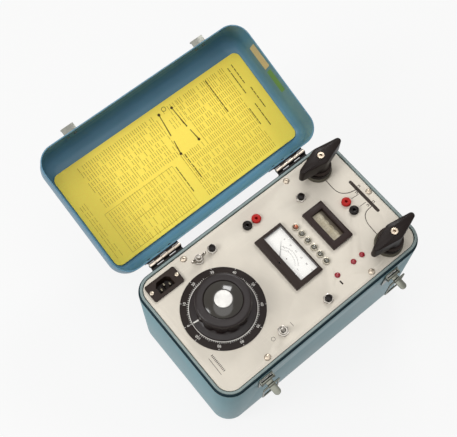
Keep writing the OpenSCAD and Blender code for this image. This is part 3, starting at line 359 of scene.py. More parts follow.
# Dark core for the clear lamps, set toward their shaded side: partly a dark socket, partly painted shade.
lamp_shade_core = printed("scale_card", (44, 40, 30), name="lamp_shade_core")
amber_core = printed("scale_card", (236, 200, 170), name="amber_core")


def display_pane():
    """The display's window, with a painted shadow of the rim darkening its far (+X) side."""
    pane = Finish("display_glass", (198, 190, 170), 0.2, specular_ior_level=0.3)
    x, y, _ = pane.axes((DISPLAY_X, 0, 0))
    cloud = pane.noise(14, 3)
    # Painted shadow: the pane's colour darkens toward +X, where the rim's shadow falls.
    side = (x + cloud * 3 + (y * 0.06).cosine() * 1.5).rise(4, 9)
    hue = pane.mix(cloud.rise(0.35, 0.7) * 0.6, pane.colour, tone(166, 150, 112))
    pane.set("Base Color", pane.mix(side * 0.85, hue, tone(52, 40, 30)))
    pane.bump(pane.noise(3, 2), 0.002)
    return pane


def hinge_steel():
    """Black leaves, and bright metal on a narrow band along the top of the barrel: partly bare worn metal,
    partly a painted highlight.
    """
    steel = Finish("hinge_black", (24, 20, 18), 0.36, specular_ior_level=0.2)
    _, y, z = steel.axes((0, HINGE_Y, HINGE_Z))
    # Bright metal only in a narrow band along the barrel's top: partly wear, partly a painted highlight where
    # the light falls.
    lit_top_band = (1 - ((y * y) ** 0.5).rise(1.5, 2.3)) * z.rise(0, 1)
    barrel_highlight_and_wear = (1 - ((y * y + z * z) ** 0.5).rise(3.7, 3.95)) * lit_top_band
    smear = steel.noise(5, 4, (0.2, 1, 1)).rise(0.4, 0.7)
    highlight_metal = steel.mix(smear, tone(196, 184, 170), tone(150, 138, 124))
    steel.set("Base Color", steel.mix(barrel_highlight_and_wear, steel.mix(smear * 0.5, steel.colour, steel.shade(1.8)), highlight_metal))
    steel.set("Metallic", barrel_highlight_and_wear * 0.9)
    steel.bump(steel.noise(0.5, 2, (0.1, 1, 1)), 0.01)
    return steel


def winding_wire():
    """Enamelled wire laid side by side."""
    wire = Finish("winding_wire", (150, 84, 44), 0.3, coat_weight=0.6, coat_roughness=0.15)
    x, y, _ = wire.axes((DIAL_X, 0, 0))
    turn = y.math("ARCTAN2", x)
    cloud = wire.noise(12, 3)
    wire.set("Base Color", wire.mix(cloud.rise(0.35, 0.7), wire.shade(0.75), wire.shade(1.3)))
    wire.bump((turn * 150).sine(), 0.15)
    return wire


def core_iron():
    """Stacked laminations with a varnished edge."""
    iron = Finish("core_iron", (92, 94, 98), 0.5, 0.7)
    _, y, _ = iron.axes()
    cloud = iron.noise(18, 4)
    iron.set("Base Color", iron.mix(cloud.rise(0.45, 0.75) * 0.6, iron.colour, tone(96, 70, 52)))
    iron.set("Roughness", cloud * 0.25 + 0.35)
    iron.bump((y * (2 * math.pi / 0.5)).sine(), 0.04)
    return iron


def board_green():
    """Solder mask over copper tracks."""
    board = Finish("board_green", (38, 104, 62), 0.3)
    x, y, _ = board.axes()
    track = (x * 1.3).sine().most((y * 0.9).sine()).rise(0.86, 0.93) * board.noise(9, 2).rise(0.46, 0.5)
    board.set("Base Color", board.mix(track, board.colour, tone(70, 138, 78)))
    board.bump(track, 0.04)
    return board


# ---- meshes


def soften(points, radius, steps=3):
    """A profile whose inner corners are rounded off by short curves."""
    out = [Vector(points[0])]
    for before, corner, after in zip(points, points[1:], points[2:]):
        corner = Vector(corner)
        back, ahead = Vector(before) - corner, Vector(after) - corner
        start = corner + back.normalized() * min(radius, back.length * 0.49)
        end = corner + ahead.normalized() * min(radius, ahead.length * 0.49)
        for i in range(steps + 1):
            t = i / steps
            out.append(start * (1 - t) ** 2 + corner * 2 * t * (1 - t) + end * t * t)
    out.append(Vector(points[-1]))
    return [tuple(p) for p in out]


def join(mesh, low, high):
    """Faces between two rings of points, where either may be a single point."""
    count = max(len(low), len(high))
    for i in range(count):
        j = (i + 1) % count
        corners = [low[i % len(low)], low[j % len(low)], high[j % len(high)], high[i % len(high)]]
        mesh.faces.new(list(dict.fromkeys(corners)))


def loft(rings, closed=False, caps=()):
    """A mesh through rings of points (x, y, z) in mm, with a face on each ring in caps."""
    mesh = bmesh.new()
    rings = [[mesh.verts.new(point) for point in ring] for ring in rings]
    for low, high in zip(rings, rings[1:] + (rings[:1] if closed else [])):
        join(mesh, low, high)
    for end in caps:
        mesh.faces.new(rings[end])
    return mesh


def circle(r, centre=(0, 0), steps=48):
    """Points round a circle."""
    return [(centre[0] + r * math.cos(a), centre[1] + r * math.sin(a))
            for a in (2 * math.pi * i / steps for i in range(steps))]


def rounded(w, d, r, centre=(0, 0), steps=6):
    """A rectangle with round corners."""
    points = []
    for k, (sx, sy) in enumerate(((1, 1), (-1, 1), (-1, -1), (1, -1))):
        for i in range(steps + 1):
            a = math.radians(90 * (k + i / steps))
            points.append((centre[0] + sx * (w / 2 - r) + r * math.cos(a),
                           centre[1] + sy * (d / 2 - r) + r * math.sin(a)))
    return points


def band(inner, outer, low, high, centre=(0, 0), steps=48):
    """A flat ring."""
    return spun([(inner, low), (outer, low), (outer, high), (inner, high)], centre, steps, closed=True)


def spun(profile, centre=(0, 0), steps=48, closed=False):
    """A shape turned from (radius, height) points about an upright axis."""
    rings = [[(*centre, z)] if r < 1e-6 else [(*p, z) for p in circle(r, centre, steps)] for r, z in profile]
    return loft(rings, closed)


def lathe(profile, radius, centre=(0, 0), steps=48, cuts=2):
    """A turned ring: its profile is closed and its corners are softened."""
    return spun(soften([*profile, profile[0]], radius, cuts)[:-1], centre, steps, closed=True)


def stacked(w, d, r, profile, centre=(0, 0), steps=6, closed=False):
    """Round-cornered rectangles stacked by (inset, height) points."""
    rings = [[(*p, z) for p in rounded(w - 2 * inset, d - 2 * inset, max(r - inset, 0.05), centre, steps)]
             for inset, z in profile]
    return loft(rings, closed, () if closed else (0, -1))


def prism(outline, low, high):
    """An outline drawn up from one height to another."""
    return loft([[(*p, z) for p in outline] for z in (low, high)], caps=(0, -1))


def merge(parts):
    """One mesh from several."""
    whole = bmesh.new()
    for part in parts:
        mesh = bpy.data.meshes.new("part")
        part.to_mesh(mesh)
        part.free()
        whole.from_mesh(mesh)
        bpy.data.meshes.remove(mesh)
    return whole


def moved(mesh, matrix):
    """The mesh, turned and shifted by a matrix."""
    bmesh.ops.transform(mesh, matrix=matrix, verts=mesh.verts)
    return mesh


def at(x=0, y=0, z=0, turn=0, axis="Z"):
    """A place in mm, with a turn about one axis in degrees."""
    return Matrix.Translation((x, y, z)) @ Matrix.Rotation(math.radians(turn), 4, axis)


LID_OPEN = at(0, HINGE_Y, HINGE_Z, -OPEN_ANGLE, "X") @ at(0, -HINGE_Y, -HINGE_Z)


def built(thing):
    """The mesh of an object with its modifiers applied. The object goes."""
    graph = bpy.context.evaluated_depsgraph_get()
    graph.update()
    data = bpy.data.meshes.new_from_object(thing.evaluated_get(graph))
    bpy.data.objects.remove(thing)
    mesh = bmesh.new()
    mesh.from_mesh(data)
    return mesh


def show(name, mesh, body, finish, replaces=(), angle=35):
    """Adds a finished piece in mm to the object, riding on its body."""
    bmesh.ops.remove_doubles(mesh, verts=mesh.verts, dist=0.0005)
    bmesh.ops.recalc_face_normals(mesh, faces=mesh.faces)
    bmesh.ops.scale(mesh, vec=(MM, MM, MM), verts=mesh.verts)
    data = bpy.data.meshes.new(name)
    mesh.to_mesh(data)
    mesh.free()
    data.shade_smooth()
    data.set_sharp_from_angle(angle=math.radians(angle))
    data.materials.clear()
    data.materials.append(finish.material)
    thing = add(name, data)
    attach(thing, body)
    if replaces:
        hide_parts(*replaces)


def room(node):
    """A part's low corner, high corner and middle, in mm."""
    low, high = (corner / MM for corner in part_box(node))
    return low, high, (low + high) / 2


# ---- repeating shapes


class Plan(Tree):
    """A Geometry Nodes tree with named sizes, which ends in one material."""

    kinds = {float: "NodeSocketFloat", int: "NodeSocketInt", bpy.types.Material: "NodeSocketMaterial"}

    def __init__(self, name, sizes):
        self.tree = bpy.data.node_groups.new(name, "GeometryNodeTree")
        faces = self.tree.interface
        faces.new_socket("Geometry", in_out="INPUT", socket_type="NodeSocketGeometry")
        faces.new_socket("Geometry", in_out="OUTPUT", socket_type="NodeSocketGeometry")
        for key, value in sizes.items():
            faces.new_socket(key, in_out="INPUT", socket_type=self.kinds[type(value)]).default_value = value
        faces.new_socket("Finish", in_out="INPUT", socket_type="NodeSocketMaterial")
        self.inlet = self.tree.nodes.new("NodeGroupInput")
        self.sizes = [self.given(key) for key in sizes]

    def given(self, name):
        return Wire(self, self.inlet.outputs[name])

    def spot(self, x=0.0, y=0.0, z=0.0):
        return self.node("ShaderNodeCombineXYZ", None, {0: x, 1: y, 2: z})

    def block(self, x, y, z):
        """A box of that size."""
        return self.node("GeometryNodeMeshCube", None, {"Size": self.spot(x, y, z)})

    def shift(self, shape, position):
        """The shape with its points at new places."""
        return self.node("GeometryNodeSetPosition", None, {0: shape, "Position": position})

    def chance(self, low, high, seed):
        """A random number for each point."""
        inputs = {2: low, 3: high, "Seed": seed}
        return self.node("FunctionNodeRandomValue", {"data_type": "FLOAT"}, inputs, out=1)

    def scatter(self, points, shape, **inputs):
        """Ends the tree with the shape on each point."""
        inputs = {"Points": points, "Instance": shape, **inputs}
        self.end(self.node("GeometryNodeInstanceOnPoints", None, inputs))

    def end(self, shape):
        real = self.node("GeometryNodeRealizeInstances", None, {0: shape})
        done = self.node("GeometryNodeSetMaterial", None, {0: real, "Material": self.given("Finish")})
        outlet = self.tree.nodes.new("NodeGroupOutput")
        self.tree.links.new(done.socket, outlet.inputs[0])

    def grow(self, sizes, finish, points=()):
        """The plain mesh that the tree makes with these sizes, in mm."""
        seed = bpy.data.meshes.new("seed")
        seed.from_pydata([tuple(p) for p in points], [], [])
        host = add("host", seed)
        self.put_on(host, finish, sizes)
        return built(host)

    def put_on(self, thing, finish, sizes=None):
        """Makes the tree a modifier of an object."""
        modifier = thing.modifiers.new(self.tree.name, "NODES")
        modifier.node_group = self.tree
        faces = self.tree.interface.items_tree
        sockets = {item.name: item.identifier for item in faces if item.in_out == "INPUT"}
        for key, value in (sizes or {}).items():
            modifier[sockets[key]] = value
        modifier[sockets["Finish"]] = finish.material


def marks_plan():
    """Marks round an arc: every so many is longer."""
    sizes = {"Count": 11, "Radius": 10.0, "Length": 1.0, "Width": 0.3, "Height": 0.1,
             "Start": 0.0, "Step": 0.1, "Every": 10, "Longer": 1.0}
    plan = Plan("marks", sizes)
    count, radius, length, width, height, start, step, every, longer = plan.sizes
    index = plan.node("GeometryNodeInputIndex")
    angle = start + index * step
    stretch = (index % every).math("COMPARE", 0.0) * longer + 1
    reach = radius + length * stretch * 0.5
    points = plan.node("GeometryNodePoints", None, {"Count": count})
    points = plan.shift(points, plan.spot(reach * angle.cosine(), reach * angle.sine()))
    bar = plan.block(length, width, height)
    plan.scatter(points, bar, Rotation=plan.spot(z=angle), Scale=plan.spot(stretch, 1.0, 1.0))
    return plan


def screws_plan():
    """Domed screw heads with a cross recess, each turned at random."""
    plan = Plan("screws", {"Radius": 3.3, "Height": 1.6, "Slot": 0.9, "Depth": 1.0, "Seed": 3})
    radius, height, slot, depth, seed = plan.sizes
    inputs = {"Vertices": 32, "Side Segments": 3, "Fill Segments": 6, "Radius": radius, "Depth": height}
    head = plan.node("GeometryNodeMeshCylinder", None, inputs)
    x, y, z = plan.split(plan.node("GeometryNodeInputPosition"))
    away = (x * x + y * y) / (radius * radius)
    dome = (z + height * 0.5) * (1 - away * 0.45)
    head = plan.shift(head, plan.spot(x, y, dome))
    boolean = plan.tree.nodes.new("GeometryNodeMeshBoolean")
    boolean.operation = "DIFFERENCE"
    plan.feed(boolean.inputs[0], head)
    for size in ((radius * 1.15, slot), (slot, radius * 1.15)):
        inputs = {0: plan.block(*size, depth * 2), "Translation": plan.spot(z=height)}
        plan.feed(boolean.inputs[1], plan.node("GeometryNodeTransform", None, inputs))
    turn = plan.spot(z=plan.chance(0.0, 6.28, seed))
    plan.scatter(plan.given("Geometry"), Wire(plan, boolean.outputs[0]), Rotation=turn)
    return plan


def rows_plan():
    """Rows of short dashes, as small print looks from afar."""
    sizes = {"Width": 50.0, "Depth": 60.0, "Rows": 18, "Words": 7, "Ink": 0.8, "Height": 0.06, "Seed": 1}
    plan = Plan("rows", sizes)
    width, depth, rows, words, ink, height, seed = plan.sizes
    inputs = {"Size X": width, "Size Y": depth, "Vertices X": rows, "Vertices Y": words}
    grid = plan.node("GeometryNodeMeshGrid", None, inputs)
    shrink = plan.chance(0.7, 0.98, seed)
    kept = plan.chance(0.0, 1.0, seed + 7).math("GREATER_THAN", 0.1)
    bar = plan.block(ink, depth / (words - 1), height)
    plan.scatter(grid, bar, Selection=kept, Scale=plan.spot(1.0, shrink, 1.0))
    return plan


def flutes_plan():
    """Finger flutes pressed into the side of an upright round grip."""
    sizes = {"Flutes": 12, "Depth": 2.2, "Low": GRIP_LOW, "High": GRIP_TOP, "Reach": 34.0, "Centre": DIAL_X}
    plan = Plan("flutes", sizes)
    flutes, depth, low, high, reach, centre = plan.sizes
    x, y, z = plan.split(plan.node("GeometryNodeInputPosition"))
    x = x - centre
    away = (x * x + y * y) ** 0.5
    wave = (y.math("ARCTAN2", x) * flutes).cosine() * 0.5 + 0.5
    side = away.rise(reach - 3, reach)
    level = z.rise(low, low + 1.5)
    fade = 1 - z.rise(low + 4, high - 10)
    drop = (wave ** 2.2) * depth * side * level * fade
    share = 1 - drop / away
    plan.end(plan.shift(plan.given("Geometry"), plan.spot(x * share + centre, y * share, z)))
    return plan


def smooth_plan():
    """Shades a mesh smooth, with a crease where faces meet at a sharp angle."""
    plan = Plan("smooth", {"Crease": 0.6})
    soft = plan.node("GeometryNodeInputMeshEdgeAngle").math("LESS_THAN", plan.sizes[0])
    shape = plan.given("Geometry")
    for domain, smooth in (("FACE", True), ("EDGE", soft)):
        inputs = {0: shape, "Shade Smooth": smooth}
        shape = plan.node("GeometryNodeSetShadeSmooth", {"domain": domain}, inputs)
    plan.end(shape)
    return plan


MARKS, SCREWS, ROWS, FLUTES, SMOOTH = marks_plan(), screws_plan(), rows_plan(), flutes_plan(), smooth_plan()

# ---- pieces that keep their own shape


def dress(node, finish, soft=0.0):
    """Gives a CAD node its finish, and rounds its edges by soft mm."""
    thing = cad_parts[node]
    for slot in range(len(thing.data.materials)):
        thing.data.materials[slot] = finish.material
    if not thing.data.materials:
        thing.data.materials.append(finish.material)
    weld = thing.modifiers.new("weld", "WELD")
    weld.merge_threshold = 0.002 * MM
    if soft:
        flat = thing.modifiers.new("flat", "DECIMATE")
        flat.decimate_type = "DISSOLVE"
        flat.angle_limit = math.radians(0.8)
        bevel = thing.modifiers.new("bevel", "BEVEL")
        bevel.width = soft * MM
        bevel.segments = 2
        bevel.limit_method = "ANGLE"
        bevel.angle_limit = math.radians(34)
        bevel.use_clamp_overlap = True
    SMOOTH.put_on(thing, finish)


FINISHES = {
    case_paint: {"case_base": 0.4},
    lid_paint: {"lid_shell": 0.5},
    panel_paint: {"front_panel": 0.4},
    bright_plate: {"ground_stud": 0.3, "toggle_body": 0.3, "button_collars": 0.3},
    keeper_plate: {"lid_keepers": 0.4},
    lamp_chrome: {"range_lamp_bezels": 0.4},
    latch_steel: {"pivot_pins": 0.2, "latch_plates": 0.3, "left_latch_lever": 0.5,
                  "right_latch_lever": 0.5, "left_latch_bail": 0, "right_latch_bail": 0},
    hinge_steel(): {"hinge_base_leaves": 0.3, "hinge_lid_leaves": 0.3},
    rivet_aluminium: {"base_rivets": 0.2, "variac_frame": 0.4, "rectifier_heatsink": 0.3,
                      "chassis_tray": 0.4},
    black_plastic: {"mains_inlet": 0.5, "meter_case": 0.6, "rear_clamp": 0.5, "front_clamp": 0.5},
    frame_black: {"display_frame": 0.6},
    base_moulding: {"terminal_insulators": 0.8},
    button_black: {"black_jacks": 0.5, "reset_button": 0.6, "fuse_button": 0.6, "start_button": 0.6},
    red_plastic: {"red_jacks": 0.5},
    contact_dull: {"inlet_contacts": 0.2},
    contact_brass: {"board_spacers": 0.2, "under_panel_nuts": 0.3},
    copper: {"busbars": 0.4},
    stud_metal: {"variac_shaft": 0.3},
    meter_window: {"meter_glass": 0.1},
    card_yellow: {"lid_card": 0.3},
    coil_wrap: {"transformer_coil": 0.4},
    winding_wire(): {"variac_winding": 0},
    core_iron(): {"variac_core": 0.3, "transformer_core": 0.3},
    board_green(): {"circuit_board": 0.1},
}

for finish, nodes in FINISHES.items():
    for node, soft in nodes.items():
        dress(node, finish, soft)

# ---- rim


def rim():
    """The cast rim: a flange over the shell, the tongue that the lid closes round, and the shelf."""
    step = [(TONGUE_IN, 181), (TONGUE_IN, RIM_Z), (TONGUE_OUT, RIM_Z), (TONGUE_OUT, LEDGE_Z),
            (0, LEDGE_Z), (0, LEDGE_Z - 1.5), (1.8, LEDGE_Z - 1.5), (1.8, 162), (3.8, 162), (3.8, 178),
            (TONGUE_IN + 6.5, 178), (TONGUE_IN + 6.5, 181), (TONGUE_IN, 181)]
    mesh = stacked(CASE_W, CASE_D, CORNER_R, soften(step, 0.9, 3)[:-1], steps=12, closed=True)
    show("rim_casting", mesh, "case", rim_paint, ["rim_frame"])
    # The near-black seal runs from the ledge up the tongue's outer face: partly the rubber seal, partly
    # painted shade of the groove beside the tongue.
    seal_and_shade_band = [(0.2, 179.02), (0.2, 179.6), (0.6, 180), (1.5, 180), (1.85, 180.6), (1.85, 184.4), (2.1, 184.9),
            (2.66, 184.9), (2.66, 179.02)]
    mesh = stacked(CASE_W, CASE_D, CORNER_R, seal_and_shade_band, steps=12, closed=True)
    show("rim_gasket_and_painted_shade", mesh, "case", seal_rubber, ["rim_seal"])


rim()

# ---- panel fasteners


def panel_screws():
    """Cross-head screws on cup washers, and the two that hold the mains inlet."""
    side_x, end_x, side_y = 97.5, 165.7, CASE_D / 2 - 14.5
    places = [(x, y) for y in (side_y, -side_y) for x in (-side_x, side_x - 10.5)] + [(end_x, 2)]
    cup = [(2.2, 0), (4.6, 0), (4.6, 0.5), (3.6, 1.5), (3.0, 1.5), (2.2, 0.9)]
    cups = [moved(lathe(cup, 0.25, steps=32), at(x, y, PANEL_Z)) for x, y in places]
    show("cup_washers", merge(cups), "case", screw_plate, ["panel_cup_washers"])
    seat = PANEL_Z + 1.2
    heads = SCREWS.grow({"Radius": 3.3}, screw_plate, [(x, y, seat) for x, y in places])
    small = SCREWS.grow({"Radius": 2.8, "Height": 1.4, "Slot": 0.8, "Seed": 8}, screw_plate,
                        [(INLET_X + s * 21, INLET_Y, PANEL_Z + 3) for s in (-1, 1)])
    shanks = [moved(prism(circle(2, steps=16), -8, 0.4), at(x, y, seat)) for x, y in places]
    show("panel_screw_set", merge([heads, small, *shanks]), "case", screw_plate, ["panel_screws"])


panel_screws()

# ---- dial


def dial_plate():
    """The black scale plate with its white ring, marks and numbers."""
    top = PANEL_Z + 1.4
    disc = [(PLATE_HOLE, PANEL_Z), (PLATE_R, PANEL_Z), (PLATE_R, top), (PLATE_HOLE, top)]
    show("dial_scale_plate", lathe(disc, 0.4, DIAL, 128, 3), "case", plate_black, ["dial_plate"])
    ring = band(RING_R, RING_R + 0.7, top - 0.1, top + 0.08, DIAL, 128)
    start, step = math.radians(DIAL_ZERO), math.radians(DIAL_STEP)
    fine = {"Count": 101, "Radius": RING_R + 0.6, "Length": 2.0, "Width": 0.5, "Height": 0.24,
            "Start": start, "Step": step / 10, "Every": 5, "Longer": 0.4}
    outer = {"Count": 11, "Radius": MARK_R, "Length": 1.9, "Width": 0.5, "Height": 0.24,
             "Start": start, "Step": step, "Every": 1, "Longer": 0.0}
    marks = [moved(MARKS.grow(sizes, ink_white), at(DIAL_X, 0, top)) for sizes in (fine, outer)]
    numbers = []
    for i in range(11):
        a = start + i * step
        place = at(DIAL_X + NUMBER_R * math.cos(a), NUMBER_R * math.sin(a), top, math.degrees(a) - 90)
        numbers.append(moved(lettering(str(10 * i), 5.2, 0.12), place))
    show("dial_marks", merge([ring, *marks, *numbers]), "case", ink_white)


def lettering(text, size, height):
    """Raised figures standing on z = 0, centred."""
    curve = bpy.data.curves.new("figures", "FONT")
    curve.body = text
    curve.size = size
    curve.align_x = curve.align_y = "CENTER"
    curve.extrude = height / 2
    curve.resolution_u = 3
    return built(add("figures", curve))


def dial_knob():
    """The large fluted knob with its skirt, dished face and white pointer."""
    profile = [(5, SKIRT_LOW), (44.5, SKIRT_LOW), (44.5, SKIRT_LOW + 0.8), (36.2, GRIP_LOW),
               (35.6, GRIP_LOW + 3), (37.5, GRIP_TOP - 3), (36.6, GRIP_TOP), (34, GRIP_TOP + 0.8),
               (27, GRIP_TOP + 1), (25.8, GRIP_TOP + 0.2), (25.6, GRIP_TOP - 1.4), (5, GRIP_TOP - 1.4)]
    profile = soften(profile, 1.2, 3)
    fine = []
    for (r0, z0), (r1, z1) in zip(profile, profile[1:]):
        cuts = max(1, int(abs(z1 - z0) / 1.5))
        fine += [(r0 + (r1 - r0) * i / cuts, z0 + (z1 - z0) * i / cuts) for i in range(cuts)]
    fine.append(profile[-1])
    mesh = spun(fine + [(5, SKIRT_LOW + 2)], DIAL, 360, closed=True)
    seed = bpy.data.meshes.new("knob")
    bmesh.ops.recalc_face_normals(mesh, faces=mesh.faces)
    mesh.to_mesh(seed)
    mesh.free()
    host = add("knob", seed)
    FLUTES.put_on(host, knob_plastic)
    show("dial_grip", built(host), "dial", knob_plastic, ["dial_knob"], angle=40)
    dish = [(12.3, GRIP_TOP - 1), (25.4, GRIP_TOP - 1), (25.4, GRIP_TOP - 0.2), (13.2, HUB_TOP - 0.1),
            (12.3, HUB_TOP - 0.1)]
    show("dial_dish", lathe(dish, 0.25, DIAL, 160), "dial", dish_black, angle=25)
    cap = [(0, HUB_TOP - 1), (12, HUB_TOP - 1), (12, HUB_TOP + 0.1), (11.2, HUB_TOP + 0.5),
           (0, HUB_TOP + 0.5)]
    show("dial_cap", spun(soften(cap, 0.3, 2), DIAL, 96), "dial", knob_metal, ["knob_cap"])
    a = math.radians(DIAL_ZERO)
    lift = at(DIAL_X + POINTER_R * math.cos(a), POINTER_R * math.sin(a), SKIRT_LOW + 1.4, DIAL_ZERO)
    tilt = Matrix.Rotation(math.atan2(1.4, 8.3), 4, "Y")
    bar = moved(prism([(-4.1, 1.3), (4.1, 0.8), (4.1, -0.8), (-4.1, -1.3)], -0.25, 0.2), lift @ tilt)
    show("dial_pointer", bar, "dial", ink_white)


dial_plate()
dial_knob()

# ---- pointer meter


def meter():
    """The flush meter: its scale card with marks, and the needle on its hub."""
    low, high, middle = room("meter_scale")
    plate = stacked(high.x - low.x, high.y - low.y, 0.5, [(0, low.z), (0, high.z)], (middle.x, middle.y), 2)
    show("meter_scale_card", plate, "case", scale_card, ["meter_scale"])
    pivot, top = (-1.7, 0), high.z
    first, sweep = math.radians(-45), math.radians(90)
    scales = []
    for radius, count, every, length in ((25.2, 51, 5, 1.0), (21.0, 41, 10, 0.8)):
        sizes = {"Count": count, "Radius": radius, "Length": length, "Width": 0.16, "Height": 0.1,
                 "Start": first, "Step": sweep / (count - 1), "Every": every, "Longer": 0.9}
        scales.append(moved(MARKS.grow(sizes, ink_black), at(*pivot, top)))
        arc = [(pivot[0] + r * math.cos(a), pivot[1] + r * math.sin(a))
               for r, steps in ((radius, range(41)), (radius - 0.16, range(40, -1, -1)))
               for a in (first + sweep * i / 40 for i in steps)]
        scales.append(prism(arc, top - 0.05, top + 0.05))
    for i, figure in enumerate(("0", "20", "40", "60", "80", "100")):
        place = at(27.2 + 0.5 * math.sin(i), 22.4 - 11.5 * i, top, -90)
        scales.append(moved(lettering(figure, 3.3, 0.1), place))
    scales.append(moved(prism(circle(0.9, steps=16), -0.04, 0.05), at(10.6, -0.6, top)))
    for x, y, length in ((18.6, 14, 5), (19.8, 6, 3.4), (12, -22, 4)):
        scales.append(moved(prism(rounded(0.4, length, 0.1, steps=1), -0.04, 0.05), at(x, y, top)))
    show("meter_scale_marks", merge(scales), "case", ink_grey)
    tip = [(0, 0.5), (33, 0.12), (33, -0.12), (0, -0.5), (-3, -0.7), (-3, 0.7)]
    blade = moved(prism(tip, -0.15, 0.15), at(*pivot, NEEDLE_Z, NEEDLE_REST))
    hub = spun(soften([(0, 184.3), (1.6, 184.3), (1.6, 185.9), (0, 185.9)], 0.3, 2), pivot, 24)
    show("meter_pointer", merge([blade, hub]), "needle", needle_black, ["meter_needle"])


meter()

# ---- display


def display():
    """The window of the digital display: a dull panel with blank digit places."""
    low, high, middle = room("display_panel")
    pane = stacked(high.x - low.x, high.y - low.y, 0.5, [(0, low.z), (0, high.z - 0.3), (0.3, high.z)],
                   (middle.x, middle.y), 2)
    show("display_pane", pane, "case", display_pane(), ["display_panel"])
    bars = [(x, 0, 0.9, 5) for x in (5.2, 0, -5.2)]
    bars += [(x, y, 4.3, 0.9) for y in (3, -3) for x in (2.6, -2.6)]
    digits = []
    for i in range(4):
        x, y = middle.x - 0.4, middle.y + 15 - 10 * i
        for dx, dy, w, d in bars:
            digits.append(prism(rounded(w, d, 0.3, (x + dx, y + dy), 1), high.z - 0.05, high.z + 0.03))
    show("display_segments", merge(digits), "case", ink_segment)


display()

# ---- lamps


def lamps():
    """Six clear range lamps, the first of them amber, and three red indicators."""
    dome = soften([(0, 182.8), (3.55, 182.8), (3.55, 186.4), (3.0, 188), (0, 188.6)], 1.2, 3)
    core = soften([(0, 183.2), (1.6, 183.2), (1.6, 186.2), (0, 187.4)], 0.9, 3)
    kinds = (("amber_range_lens", lens_amber, amber_core, (0,)),
             ("range_lenses", lens_clear, lamp_shade_core, range(1, 6)))
    for name, finish, inner, range_lamps in kinds:
        places = [(LAMP_X, LAMP_Y - LAMP_PITCH * i) for i in range_lamps]
        show(name, merge([spun(dome, p, 32) for p in places]), "case", finish, ["range_lamp_lenses"])
        # Each lamp's core sits off centre toward +X, the shaded side. The clear lamps' dark core is partly a
        # dark socket, partly painted shade. The amber lamp's core is pale.
        cores = merge([spun(core, (x + 1.2, y + 0.4), 16) for x, y in places])
        show(name + "_cores_set_toward_shaded_side", cores, "case", inner)
    red = soften([(0, 184.02), (4, 184.02), (4, 184.9), (3.2, 184.9), (3.0, 186), (0, 187)], 0.5, 3)
    places = [(93.8, -61.2), (78, -61.4), (48.1, -61.9)]
    stems = [spun([(0, 170), (3.1, 170), (3.1, 184.1), (0, 184.1)], p, 24) for p in places]
    lenses = merge([spun(red, p, 32) for p in places] + stems)
    show("indicator_lenses", lenses, "case", lens_red, ["indicator_lamps"])


lamps()

# ---- terminals


def wing_outline(half, hub, tip):
    """The plan of a wing knob: two round tips joined to a round hub by straight flanks."""
    lean = math.degrees(math.asin((hub - tip) / (half - tip)))
    points = []
    for turn in (0, 180):
        end = (half - tip) * math.cos(math.radians(turn))
        arcs = ((end, tip, lean - 90, 90 - lean, 10), (0, hub, 90 - lean, 90 + lean, 4))
        for centre, radius, first, last, steps in arcs:
            for i in range(steps + 1):
                a = math.radians(turn + first + (last - first) * i / steps)
                points.append((centre + radius * math.cos(a), radius * math.sin(a)))
    return points


def wing_knobs():
    """Black wing knobs over their hubs, the plated studs in their tops and the collars below."""
    levels = [(1.0, 205.3), (0, 206.4), (0, 228.2), (0.3, 229.1), (0.9, 229.5)]
    for name, (x, y) in zip(("rear", "front"), TERMINALS):
        place = at(x, y, 0, WING_TURN)
        rings = [[(*p, z) for p in wing_outline(WING_HALF - inset, WING_HUB_R - inset, WING_TIP_R - inset)]
                 for inset, z in levels]
        rings += [[(*p, 229.5) for p in circle(5.8, steps=len(rings[0]))]]
        rings += [[(*p, 228.9) for p in circle(5.2, steps=len(rings[0]))]]
        hub = lathe([(5.2, 203.8), (15, 203.8), (13.4, 211), (12.8, 228), (5.2, 228)], 0.9, steps=72, cuts=3)
        knob = moved(merge([loft(rings, caps=(0,)), hub]), place)
        show(name + "_wing_grip", knob, name + "_knob", wing_plastic, [name + "_wing_knob"], angle=38)
    post = soften([(0, 164), (5, 164), (5, 230.5), (1.9, 230.5), (1.9, 224.5), (0, 224.5)], 0.4, 2)
    collar = [(5, 190.02), (18, 190.02), (18, 196), (5, 196)]
    posts = merge([spun(post, place, 64) for place in TERMINALS])
    show("terminal_posts", posts, "case", stud_metal, ["terminal_studs"], angle=30)
    collars = merge([lathe(collar, 0.5, place, 64) for place in TERMINALS])
    show("terminal_collars", collars, "case", wing_plastic, ["terminal_studs"], angle=30)


wing_knobs()


def ground_nut():
    """A pressed wing nut on the earth stud."""
    parts = [lathe([(3.05, 187.4), (5.6, 187.4), (5.0, 194.3), (3.05, 194.3)], 0.4, steps=32)]
    wing = [(3.6, 188.6), (6, 188.4), (9.6, 189.6), (12.2, 193.4), (12.4, 196.6), (11.2, 198.8),
            (9.4, 199), (7.4, 196.6), (5.6, 194.6), (3.6, 194)]
    outline = soften(wing + wing[:1], 0.8, 2)[:-1]
    for turn in (0, 180):
        parts.append(moved(prism(outline, -0.95, 0.95), at(turn=turn) @ at(turn=90, axis="X")))
    mesh = moved(merge(parts), at(EARTH_X, EARTH_Y))
    show("earth_wing_nut", mesh, "ground_nut", bright_plate, ["ground_wing_nut"])


ground_nut()


